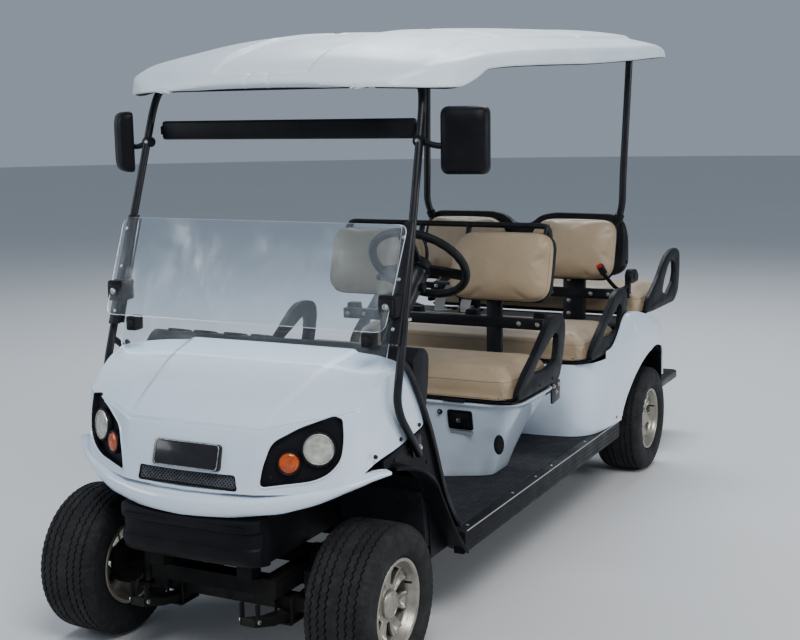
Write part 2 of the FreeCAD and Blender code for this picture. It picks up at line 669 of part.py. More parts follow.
# hip restraint outline seen from the side, from the bench's front edge; columns: station offset, z offset
LOOP = [(5, 16), (30, 62), (165, 138), (300, 232), (362, 246), (455, 235), (480, 196), (442, 58), (400, 12), (90, 12)]
LOOP_HOLE = [(150, 78), (205, 118), (372, 190), (402, 172), (385, 92), (290, 72)]
LOOP3 = [(418, 12), (375, 78), (213, 151), (77, 235), (-69, 249), (-141, 228), (-143, 141), (-126, 47), (-56, 4), (300, 6)]
LOOP3_HOLE = [(153, 75), (101, 153), (6, 208), (-55, 182), (-37, 106), (65, 48)]
for row, front, back, z in BENCHES:
    turn = 1 if back > front else -1
    lo, hi = min(front, back), max(front, back)
    pan = box(-SH, SH, lo, hi, z, z + BT)
    pan = pan.cut(box(-SH + 40, SH - 40, lo + 40, hi - 40, z - 1, z + BT - 6))
    outline, window = (LOOP3, LOOP3_HOLE) if row == "row3" else (LOOP, LOOP_HOLE)
    shape = [(front + turn * s, z + h) for s, h in outline]
    hole = [(front + turn * s, z + h) for s, h in window]
    loop = side_slab(shape, SH - 3, SH + 19).cut(side_slab(hole, SH - 10, SH + 30))
    barrels = [rod(V(h * 260, front, z), V(h * 340, front, z), 5) for h in (1, -1)]
    feature("%s_seat_base" % row, pan.fuse([loop, mirror_x(loop)] + barrels))
    inset = 2
    pad_box = [V(-SH + 4, lo + inset, z + BT + 0.3), V(SH - 4, lo + inset, z + BT + 0.3), V(SH - 4, hi - inset, z + BT + 0.3),
               V(-SH + 4, hi - inset, z + BT + 0.3)]
    low = rounded(pad_box, 50)
    cushion = Part.Face(low).extrude(Vector(0, 0, PT))
    feature("%s_cushion" % row, cushion)

# backrest cushions, leaning back: columns: station and z of the lower front edge, recline in degrees, facing
BACKS = [(1384, 890, 15, 1), (2226, 872, 15, 1), (2478, 872, 8, -1)]
PAD_IN, PAD_OUT, PAD_TALL, PAD_DEEP = 60, 462, 258, 62


def reclined(shape, st, z, angle, facing):
    """Place a shape built at the origin, x across, y into the back, z up, on a backrest plane."""
    shape = shape.copy()
    if facing < 0:
        shape = shape.mirror(Vector(0, 0, 0), Vector(0, 1, 0))
    shape.rotate(Vector(0, 0, 0), Vector(1, 0, 0), -angle * facing)
    shape.translate(V(0, st, z))
    return shape


pads, shells = [], []
for st, z, angle, facing in BACKS:
    outer = PAD_OUT if st < 2000 else PAD_OUT - 20
    outline = [Vector(PAD_IN, 0, 0), Vector(outer, 0, 0), Vector(outer, 0, PAD_TALL), Vector(PAD_IN + 50, 0, PAD_TALL),
               Vector(PAD_IN, 0, PAD_TALL - 50)]
    one = Part.Face(rounded(outline, 30)).extrude(Vector(0, PAD_DEEP, 0))
    for hand in (1, -1):
        pads.append(reclined(one if hand > 0 else mirror_x(one), st, z, angle, facing))
strut_room = both(tube_path(rear_pts, 16))
pads = [pad.cut(strut_room) for pad in pads]
feature("backrest_cushions", Part.makeCompound(pads))

# row 1 back frame: shells, two flat posts, cross rails, arms to the pod and a grab bar
row1 = []
outline = [Vector(PAD_IN - 6, 0, -8), Vector(PAD_OUT + 8, 0, -8), Vector(PAD_OUT + 8, 0, PAD_TALL + 6), Vector(PAD_IN + 46, 0, PAD_TALL + 6),
           Vector(PAD_IN - 6, 0, PAD_TALL - 46)]
plate = Part.Face(rounded(outline, 30)).extrude(Vector(0, 12, 0))
plate.translate(Vector(0, PAD_DEEP + 0.3, 0))
for hand in (1, -1):
    row1.append(reclined(plate if hand > 0 else mirror_x(plate), *BACKS[0]))
    lo, hi = sorted((hand * 197, hand * 259))
    row1.append(box(lo, hi, 1462, 1480, 305.3, 1000))
    lo, hi = sorted((hand * 440, hand * 486))
    row1.append(box(lo, hi, 1322.3, 1462, 548, 590))
    lo, hi = sorted((hand * 130, hand * 410))
row1.append(box(-488, 488, 1422, 1462, 548, 602))
row1.append(box(-425, 425, 1462, 1492, 766, 808))
row1.append(rod(V(-430, 1532, 1157), V(430, 1532, 1157), 11))
for x in (-416, -100, 100, 416):
    row1.append(side_slab([(1492, 1080), (1510, 1076), (1542, 1146), (1538, 1160), (1524, 1152), (1502, 1124)], x - 10, x + 10))
# rows 2 and 3 share one thick shell with two humps; columns: x, z
HUMPS = [(-452, 876), (452, 876), (476, 920), (476, 1040), (464, 1098), (424, 1134), (150, 1138), (86, 1126), (34, 1088),
         (-34, 1088), (-86, 1126), (-150, 1138), (-424, 1134), (-464, 1098), (-476, 1040), (-476, 920)]
SHELL_SIDE = [(2292, 876), (2412, 876), (2374, 1140), (2358, 1140)]
shell2 = front_slab(HUMPS, 2200, 2500).common(side_slab([(2288, 870), (2412.5, 870), (2377, 1142), (2361, 1142)], -500, 500))
shell2 = shell2.cut(both(rear_tube))
pad_room = [p for p in pads]
row2 = [shell2]
for hand in (1, -1):
    lo, hi = sorted((hand * 203, hand * 299))
    row2.append(box(lo, hi, 2314, 2348, 392.3, 900))
row2.append(box(-425, 425, 2314, 2344, 770, 812))
frame2 = fuse_all(row2).cut(Part.makeCompound(pads[2:]))
feature("seat_back_frames", Part.makeCompound([fuse_all(row1).cut(Part.makeCompound(pads[:2])), frame2]))

# belt reels and buckles on the cross rails
belts = []
for x, st, z in ((400, 1492, 790), (-400, 1492, 790), (120, 1492, 790), (-120, 1492, 790)):
    belts.append(box(x - 26, x + 26, st + 0.3, st + 44, z - 30, z + 40))
# the rear reels hang outside the shell on an angle from the cross rail
for hand in (1, -1):
    parts = []
    for a, b, s0, s1, z0, z1 in ((425.3, 504, 2316, 2342, 778, 806), (480, 504, 2316, 2342, 800, 850), (479, 508, 2322, 2430, 838, 896)):
        lo, hi = sorted((hand * a, hand * b))
        parts.append(box(lo, hi, s0, s1, z0, z1))
    belts.append(fuse_all(parts))
feature("seat_belts", Part.makeCompound(belts))

# pedals hung in front of the toe board
pedal_parts = []
for x, wide in ((205, 62), (300, 96)):
    plate = side_slab([(352, 380), (358, 382), (322, 500), (316, 498)], x, x + wide)
    stem = side_slab([(296, 440), (298, 420), (342, 426), (338, 442)], x + wide / 2 - 8, x + wide / 2 + 8)
    pedal_parts.append(plate.fuse(stem))
toe_shape = [o for o in NODES if o.Label == "floor_mat"][0].Shape
feature("pedals", Part.makeCompound([p.cut(toe_shape) for p in pedal_parts]))

# ------------------------------------------------------------------ write
doc.recompute()
for obj in doc.Objects:
    state = [s for s in obj.State if s in ("Invalid", "Error")]
    if state:
        raise RuntimeError("%s is %s" % (obj.Label, state))
labels = set()
for obj in NODES:
    shape = obj.Shape
    if shape.isNull() or not shape.isValid() or not shape.Solids:
        raise RuntimeError("%s has no valid shape" % obj.Label)
    if obj.Label in labels or len(obj.Label) >= 60:
        raise RuntimeError("label %s" % obj.Label)
    labels.add(obj.Label)
for old in os.listdir("parts"):
    if old.endswith(".step") and old[:-5] not in labels:
        os.remove(os.path.join("parts", old))
for obj in NODES:
    obj.Shape.exportStep("parts/%s.step" % obj.Label)
    print(obj.Label, len(obj.Shape.Solids), round(obj.Shape.Volume / 1e6, 3))
print(len(NODES), "nodes")
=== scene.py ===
import math
import random

import bmesh
import bpy
import numpy as np
from mathutils import Matrix, Vector
from mathutils.bvhtree import BVHTree


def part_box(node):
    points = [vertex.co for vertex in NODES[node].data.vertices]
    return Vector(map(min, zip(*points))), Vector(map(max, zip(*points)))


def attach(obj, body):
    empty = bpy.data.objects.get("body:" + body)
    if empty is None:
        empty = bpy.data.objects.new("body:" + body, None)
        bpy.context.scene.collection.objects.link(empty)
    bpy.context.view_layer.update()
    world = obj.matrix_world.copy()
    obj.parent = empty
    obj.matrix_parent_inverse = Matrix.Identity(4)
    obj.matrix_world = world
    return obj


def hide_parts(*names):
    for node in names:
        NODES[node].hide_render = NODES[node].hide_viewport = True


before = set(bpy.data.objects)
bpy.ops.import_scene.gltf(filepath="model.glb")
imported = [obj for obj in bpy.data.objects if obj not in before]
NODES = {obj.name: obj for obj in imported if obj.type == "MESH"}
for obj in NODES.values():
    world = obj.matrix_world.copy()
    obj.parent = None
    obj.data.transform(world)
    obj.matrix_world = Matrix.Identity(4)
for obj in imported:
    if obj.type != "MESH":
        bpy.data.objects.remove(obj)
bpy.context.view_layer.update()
random.seed(11)

# ------------------------------------------------------------------ frame
# Pieces are written in millimetres as (x, station behind the front axle, z), as in the CAD source.
axle_lo, axle_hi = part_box("front_axle")
FY = (axle_lo.y + axle_hi.y) / 2
AZ, WB = 228.5, 2449.0
UP = Vector((0, 0, 1))


def V3(x, s, z):
    return Vector((x, s, z))


def lerp(a, b, t):
    return a + (b - a) * t


def smooth(t):
    t = min(max(t, 0.0), 1.0)
    return t * t * (3 - 2 * t)


def table_at(rows, s):
    """Row of a table at station s, by smooth (monotone cubic) interpolation on its first column."""
    rows = np.asarray(rows, float)
    xs = rows[:, 0]
    s = min(max(s, xs[0]), xs[-1])
    i = int(min(max(np.searchsorted(xs, s) - 1, 0), len(xs) - 2))
    h = xs[i + 1] - xs[i]
    t = (s - xs[i]) / h
    slope = np.diff(rows, axis=0) / np.diff(xs)[:, None]

    def tangent(k):
        if k == 0:
            return slope[0]
        if k == len(xs) - 1:
            return slope[-1]
        a, b = slope[k - 1], slope[k]
        return np.where(a * b > 0, 2 * a * b / (a + b + 1e-12 * np.sign(a + b + 1e-30)), 0)

    m0, m1 = tangent(i), tangent(i + 1)
    t2, t3 = t * t, t ** 3
    return (2 * t3 - 3 * t2 + 1) * rows[i] + (t3 - 2 * t2 + t) * h * m0 + (-2 * t3 + 3 * t2) * rows[i + 1] + (t3 - t2) * h * m1


def spline(points, per=6, closed=False):
    """Smooth curve through points."""
    pts = [Vector(p) for p in points]
    n, out = len(pts), []
    spans = n if closed else n - 1
    for i in range(spans):
        p1, p2 = pts[i], pts[(i + 1) % n]
        p0 = pts[i - 1] if (closed or i > 0) else p1 * 2 - p2
        p3 = pts[(i + 2) % n] if (closed or i + 2 < n) else p2 * 2 - p1
        for k in range(per):
            t = k / per
            out.append(0.5 * ((2 * p1) + (p2 - p0) * t + (2 * p0 - 5 * p1 + 4 * p2 - p3) * t * t + (3 * p1 - p0 - 3 * p2 + p3) * t ** 3))
    if not closed:
        out.append(pts[-1])
    return out


def fillet(points, radius, steps=4, closed=False):
    """Polyline with its corners rounded."""
    pts = [Vector(p) for p in points]
    n, out = len(pts), []
    for i in range(n):
        if not closed and i in (0, n - 1):
            out.append(pts[i])
            continue
        p, a, b = pts[i], pts[i - 1], pts[(i + 1) % n]
        r = min(radius, (a - p).length * 0.48, (b - p).length * 0.48)
        u, v = p + (a - p).normalized() * r, p + (b - p).normalized() * r
        for k in range(steps + 1):
            t = k / steps
            out.append(u * (1 - t) ** 2 + p * (2 * t * (1 - t)) + v * t * t)
    return out


def flat2(points, radius, steps=4):
    """Closed 2D outline with rounded corners, as a list of pairs."""
    return [(p.x, p.y) for p in fillet([Vector((a, b, 0)) for a, b in points], radius, steps, True)]


# ------------------------------------------------------------------ materials
class Mat:
    def __init__(self, name, base, rough=0.5, metal=0.0, coat=0.0, coat_rough=0.08, ior=1.48, trans=0.0, sheen=0.0, spec=0.5):
        self.mat = bpy.data.materials.new(name)
        self.mat.use_nodes = True
        self.tree = self.mat.node_tree
        self.p = self.tree.nodes["Principled BSDF"]
        for key, value in (("Base Color", (*base, 1)), ("Roughness", rough), ("Metallic", metal), ("Coat Weight", coat),
                           ("Coat Roughness", coat_rough), ("IOR", ior), ("Transmission Weight", trans), ("Sheen Weight", sheen),
                           ("Specular IOR Level", spec)):
            self.p.inputs[key].default_value = value
        self.co = self.node("TexCoord").outputs["Object"]
        self.height = None

    def node(self, kind, **values):
        n = self.tree.nodes.new("ShaderNode" + kind)
        for key, value in values.items():
            if isinstance(value, bpy.types.NodeSocket):
                self.tree.links.new(value, n.inputs[key.replace("_", " ")])
            elif key.replace("_", " ") in n.inputs:
                n.inputs[key.replace("_", " ")].default_value = value
            else:
                setattr(n, key, value)
        return n

    def stretch(self, scale):
        return self.node("Mapping", Vector=self.co, Scale=scale).outputs["Vector"]

    def noise(self, scale, detail=4.0, rough=0.55, distort=0.0, vec=None):
        n = self.node("TexNoise", Vector=vec or self.co, Scale=scale, Detail=detail, Roughness=rough, Distortion=distort)
        return n.outputs["Fac"]

    def cells(self, scale, feature="F1", vec=None):
        n = self.node("TexVoronoi", Vector=vec or self.co, Scale=scale)
        n.feature = feature
        return n.outputs["Distance"]

    def axis(self, name):
        return self.node("SeparateXYZ", Vector=self.co).outputs[name]

    def fit(self, value, a, b, c=0.0, d=1.0):
        n = self.node("MapRange", Value=value)
        for key, x in (("From Min", a), ("From Max", b), ("To Min", c), ("To Max", d)):
            n.inputs[key].default_value = x
        return n.outputs["Result"]

    def times(self, a, b, op="MULTIPLY"):
        n = self.node("Math", operation=op)
        for i, x in enumerate((a, b)):
            if isinstance(x, bpy.types.NodeSocket):
                self.tree.links.new(x, n.inputs[i])
            else:
                n.inputs[i].default_value = x
        return n.outputs[0]

    def mix(self, fac, a, b):
        n = self.node("Mix", data_type="RGBA")
        self.tree.links.new(fac, n.inputs[0])
        for i, x in ((6, a), (7, b)):
            if isinstance(x, bpy.types.NodeSocket):
                self.tree.links.new(x, n.inputs[i])
            else:
                n.inputs[i].default_value = (*x, 1)
        return n.outputs[2]

    def colour(self, socket):
        self.tree.links.new(socket, self.p.inputs["Base Color"])

    def rough(self, socket):
        self.tree.links.new(socket, self.p.inputs["Roughness"])

    def bump(self, height, distance, strength=1.0):
        n = self.node("Bump", Height=height, Strength=strength, Distance=distance)
        if self.height is not None:
            self.tree.links.new(self.height, n.inputs["Normal"])
        self.height = n.outputs["Normal"]
        self.tree.links.new(self.height, self.p.inputs["Normal"])


def make_materials():
    out = {}
    m = out["white"] = Mat("white_gloss", (0.75, 0.80, 0.86), 0.2, coat=1.0, coat_rough=0.03)
    n = m.noise(1.7, 5)
    # two whites with random tone between them; their strong blue cast is a painted reflection of the sky, not the
    # paint's own colour
    c = m.mix(m.fit(n, 0.35, 0.65), (0.60, 0.715, 0.85), (0.66, 0.765, 0.885))
    dirt = m.times(m.fit(m.axis("Z"), 0.50, 0.30), m.fit(m.noise(9, 8, 0.7), 0.38, 0.66))
    c = m.mix(m.times(dirt, 0.30), c, (0.40, 0.38, 0.35))
    specks = m.fit(m.noise(230, 2, 0.5), 0.70, 0.76)
    c = m.mix(m.times(specks, 0.35), c, (0.33, 0.32, 0.31))
    m.colour(c)
    m.rough(m.fit(m.noise(5, 6, 0.65), 0.3, 0.7, 0.10, 0.24))
    m.bump(m.noise(70, 3), 0.00035, 0.25)
    m = out["roof"] = Mat("roof_white", (0.80, 0.82, 0.84), 0.42, coat=0.12, coat_rough=0.25)
    n = m.noise(3, 6, 0.6, vec=m.stretch((1, 1, 3)))
    c = m.mix(m.fit(n, 0.3, 0.7), (0.585, 0.690, 0.770), (0.655, 0.750, 0.820))
    streak = m.times(m.fit(m.noise(16, 5, 0.6, vec=m.stretch((1, 1, 0.15))), 0.5, 0.72), m.fit(m.noise(1.5), 0.4, 0.6))
    c = m.mix(m.times(streak, 0.22), c, (0.52, 0.50, 0.45))
    edge = m.times(m.fit(m.axis("Z"), 1.672, 1.650), 0.35)
    c = m.mix(edge, c, (0.66, 0.62, 0.50))
    m.colour(c)
    m.rough(m.fit(m.noise(8, 5), 0.3, 0.7, 0.36, 0.56))
    m.bump(m.noise(260, 3), 0.00025, 0.35)
    m = out["plastic"] = Mat("black_plastic", (0.022, 0.023, 0.026), 0.5, spec=0.13)
    # partly painted shade: this black is darker than the plastic's own colour, standing in for the shade under the cart
    c = m.mix(m.fit(m.noise(6, 6, 0.6), 0.35, 0.7), (0.0040, 0.0045, 0.0062), (0.0095, 0.0100, 0.0125))
    dust = m.times(m.fit(m.axis("Z"), 0.45, 0.22), m.fit(m.noise(14, 8, 0.7), 0.46, 0.72))
    c = m.mix(m.times(dust, 0.14), c, (0.07, 0.066, 0.062))
    m.colour(c)
    m.rough(m.fit(m.noise(11, 5), 0.3, 0.7, 0.36, 0.54))
    m.bump(m.cells(620), 0.00022, 0.6)
    m = out["steel"] = Mat("black_powder_coat", (0.015, 0.016, 0.020), 0.36, coat=0.1, coat_rough=0.2, spec=0.22)
    # partly painted shade: this black is darker than the coating's own colour, standing in for the shade under the cart
    c = m.mix(m.fit(m.noise(10, 6, 0.6), 0.4, 0.7), (0.0045, 0.0050, 0.0075), (0.0110, 0.0120, 0.0155))
    c = m.mix(m.times(m.fit(m.noise(160, 2), 0.70, 0.75), 0.25), c, (0.14, 0.135, 0.13))
    m.colour(c)
    m.rough(m.fit(m.noise(18, 5), 0.3, 0.7, 0.28, 0.48))
    m.bump(m.noise(420, 3), 0.0002, 0.5)
    m = out["frame"] = Mat("frame_paint", (0.03, 0.03, 0.03), 0.7, spec=0.15)
    # partly painted shade: this black is darker than the paint's own colour, standing in for the shade under the cart
    c = m.mix(m.fit(m.noise(12, 8, 0.7), 0.40, 0.66), (0.0050, 0.0050, 0.0056), (0.0130, 0.0120, 0.0110))
    rust = m.fit(m.noise(26, 8, 0.75), 0.62, 0.72)
    c = m.mix(m.times(rust, 0.30), c, (0.045, 0.022, 0.012))
    m.colour(c)
    m.rough(m.fit(m.noise(24, 5), 0.3, 0.7, 0.55, 0.85))
    m.bump(m.noise(180, 6, 0.7), 0.0005, 0.6)
    m = out["axle"] = Mat("axle_iron", (0.09, 0.088, 0.085), 0.55, metal=0.7)
    c = m.mix(m.fit(m.noise(15, 8, 0.7), 0.38, 0.66), (0.022, 0.0215, 0.021), (0.012, 0.0112, 0.0105))
    c = m.mix(m.times(m.fit(m.noise(34, 8, 0.7), 0.58, 0.70), 0.45), c, (0.045, 0.025, 0.015))
    m.colour(c)
    m.rough(m.fit(m.noise(30, 5), 0.3, 0.7, 0.45, 0.75))
    m.bump(m.noise(240, 6, 0.7), 0.0005, 0.6)
    m = out["vinyl"] = Mat("tan_vinyl", (0.55, 0.40, 0.26), 0.47, sheen=0.08)
    # partly painted shade: the tan is darker than the vinyl's own colour, standing in for the shade on the pads; the
    # noise between the two tans is random tone
    c = m.mix(m.fit(m.noise(4.5, 6, 0.6), 0.32, 0.68), (0.290, 0.215, 0.134), (0.375, 0.282, 0.182))
    c = m.mix(m.times(m.fit(m.noise(19, 7, 0.7), 0.52, 0.72), 0.30), c, (0.22, 0.158, 0.098))
    grain = m.cells(520)
    c = m.mix(m.fit(grain, 0.5, 0.9, 0.0, 0.30), c, (0.20, 0.145, 0.092))
    m.colour(c)
    m.rough(m.fit(m.noise(7, 5), 0.3, 0.7, 0.38, 0.56))
    m.bump(grain, 0.00035, 0.55)
    m.bump(m.noise(38, 5), 0.0012, 0.18)
    m = out["seam"] = Mat("seam_dark", (0.17, 0.115, 0.075), 0.6)
    m.colour(m.mix(m.noise(90, 4), (0.15, 0.105, 0.068), (0.24, 0.172, 0.11)))
    m.bump(m.cells(700), 0.0003, 0.6)
    m = out["tyre"] = Mat("tyre_rubber", (0.028, 0.028, 0.028), 0.72, spec=0.22)
    # partly painted shade: this black is darker than the rubber's own colour, standing in for the shade under the cart
    c = m.mix(m.fit(m.noise(13, 8, 0.7), 0.36, 0.68), (0.0075, 0.0078, 0.0090), (0.0190, 0.0192, 0.0205))
    c = m.mix(m.times(m.fit(m.noise(46, 7, 0.7), 0.50, 0.68), 0.30), c, (0.050, 0.050, 0.050))
    m.colour(c)
    m.rough(m.fit(m.noise(22, 5), 0.3, 0.7, 0.60, 0.85))
    m.bump(m.noise(330, 5, 0.65), 0.0005, 0.6)
    m = out["rim"] = Mat("rim_champagne", (0.52, 0.46, 0.36), 0.34, metal=0.75, coat=0.2, coat_rough=0.12)
    c = m.mix(m.fit(m.noise(12, 6, 0.65), 0.36, 0.68), (0.40, 0.375, 0.320), (0.28, 0.262, 0.225))
    c = m.mix(m.times(m.fit(m.noise(60, 8, 0.7), 0.56, 0.72), 0.55), c, (0.085, 0.074, 0.060))
    m.colour(c)
    m.rough(m.fit(m.noise(30, 5), 0.3, 0.7, 0.26, 0.50))
    m.bump(m.noise(300, 4), 0.0002, 0.4)
    m = out["bright"] = Mat("bright_fastener", (0.62, 0.62, 0.61), 0.28, metal=0.95)
    m.colour(m.mix(m.fit(m.noise(90, 5), 0.4, 0.66), (0.66, 0.66, 0.65), (0.38, 0.36, 0.33)))
    m.rough(m.fit(m.noise(120, 4), 0.3, 0.7, 0.2, 0.42))
    m = out["acrylic"] = Mat("clear_acrylic", (0.90, 0.955, 1.0), 0.02, ior=1.46, trans=1.0)
    haze = m.times(m.fit(m.noise(3.2, 6, 0.6, 1.2), 0.50, 0.74), m.fit(m.noise(24, 6, 0.7, vec=m.stretch((1, 1, 0.35))), 0.42, 0.72))
    m.tree.links.new(m.fit(haze, 0.0, 1.0, 0.99, 0.84), m.p.inputs["Transmission Weight"])
    m.rough(m.fit(haze, 0.0, 1.0, 0.01, 0.10))
    m.bump(m.noise(5, 3), 0.0008, 0.12)
    m = out["acrylic_edge"] = Mat("acrylic_edge", (0.80, 0.88, 0.93), 0.3, trans=0.35)
    # the light bluish white of the edge faces is a painted highlight along the sheet's edges
    m.colour(m.mix(m.noise(30, 4), (0.72, 0.81, 0.88), (0.86, 0.92, 0.96)))
    m.rough(m.fit(m.noise(60, 4), 0.3, 0.7, 0.22, 0.42))
    m = out["mat"] = Mat("floor_rubber", (0.05, 0.051, 0.055), 0.68, spec=0.22)
    # partly painted shade: this black is darker than the rubber's own colour, standing in for shade
    c = m.mix(m.fit(m.noise(5, 7, 0.65), 0.35, 0.68), (0.0090, 0.0108, 0.0140), (0.0190, 0.0215, 0.0260))
    c = m.mix(m.times(m.fit(m.noise(32, 8, 0.7), 0.54, 0.72), 0.3), c, (0.085, 0.085, 0.082))
    m.colour(c)
    m.rough(m.fit(m.noise(20, 5), 0.3, 0.7, 0.55, 0.82))
    m.bump(m.cells(380), 0.0004, 0.6)
    m = out["lens"] = Mat("lamp_lens", (0.72, 0.72, 0.66), 0.14, coat=0.8, coat_rough=0.04, trans=0.35)
    m.colour(m.mix(m.fit(m.noise(34, 4), 0.35, 0.66), (0.42, 0.43, 0.38), (0.80, 0.80, 0.72)))
    m.rough(m.fit(m.noise(60, 4), 0.3, 0.7, 0.10, 0.24))
    m.bump(m.cells(70), 0.0012, 0.4)
    m = out["orange"] = Mat("orange_lens", (0.85, 0.22, 0.015), 0.18, coat=0.5, coat_rough=0.05, trans=0.15)
    m.colour(m.mix(m.fit(m.noise(55, 4), 0.35, 0.65), (0.62, 0.105, 0.012), (0.36, 0.052, 0.008)))
    m.bump(m.noise(120, 3), 0.0003, 0.4)
    m = out["red"] = Mat("red_lens", (0.50, 0.012, 0.010), 0.2, coat=0.5, coat_rough=0.05, trans=0.15)
    m.colour(m.mix(m.fit(m.noise(55, 4), 0.35, 0.65), (0.55, 0.014, 0.010), (0.34, 0.008, 0.008)))
    m.bump(m.cells(260), 0.0004, 0.5)
    m = out["plate"] = Mat("plate_black", (0.010, 0.010, 0.012), 0.22, coat=0.2, coat_rough=0.08, spec=0.3)
    m.colour(m.mix(m.noise(20, 5), (0.008, 0.008, 0.010), (0.020, 0.020, 0.023)))
    m.rough(m.fit(m.noise(30, 5), 0.3, 0.7, 0.12, 0.26))
    m = out["web"] = Mat("belt_webbing", (0.30, 0.30, 0.30), 0.78, sheen=0.2)
    weave = m.node("TexWave", Vector=m.stretch((420, 420, 420)), Scale=1.0, Distortion=0.5).outputs["Fac"]
    m.colour(m.mix(m.times(weave, 0.6), (0.36, 0.36, 0.35), (0.16, 0.16, 0.16)))
    m.bump(weave, 0.0004, 0.6)
    m = out["glass_dark"] = Mat("mirror_glass", (0.55, 0.58, 0.60), 0.04, metal=1.0)
    m.colour(m.mix(m.noise(8, 5), (0.52, 0.55, 0.57), (0.62, 0.65, 0.66)))
    m.rough(m.fit(m.noise(40, 5), 0.4, 0.8, 0.02, 0.12))
    m = out["urethane"] = Mat("soft_black", (0.018, 0.018, 0.020), 0.5, spec=0.22)
    # partly painted shade: this black is darker than the urethane's own colour, standing in for shade
    m.colour(m.mix(m.fit(m.noise(25, 6), 0.4, 0.7), (0.0045, 0.0048, 0.0062), (0.0110, 0.0115, 0.0135)))
    m.rough(m.fit(m.noise(40, 5), 0.3, 0.7, 0.38, 0.60))
    m.bump(m.cells(480), 0.0003, 0.6)
    m = out["mesh_grey"] = Mat("grille_grey", (0.06, 0.065, 0.075), 0.45)
    m.colour(m.mix(m.fit(m.noise(60, 5), 0.35, 0.68), (0.045, 0.050, 0.060), (0.095, 0.10, 0.112)))
    m.rough(m.fit(m.noise(40, 5), 0.3, 0.7, 0.34, 0.55))
    m.bump(m.cells(500), 0.0002, 0.5)
    m = out["stage"] = Mat("pale_floor", (0.62, 0.62, 0.61), 0.75)
    m.colour(m.mix(m.noise(0.8, 4), (0.56, 0.57, 0.58), (0.60, 0.61, 0.62)))
    return {key: value.mat for key, value in out.items()}


M = make_materials()


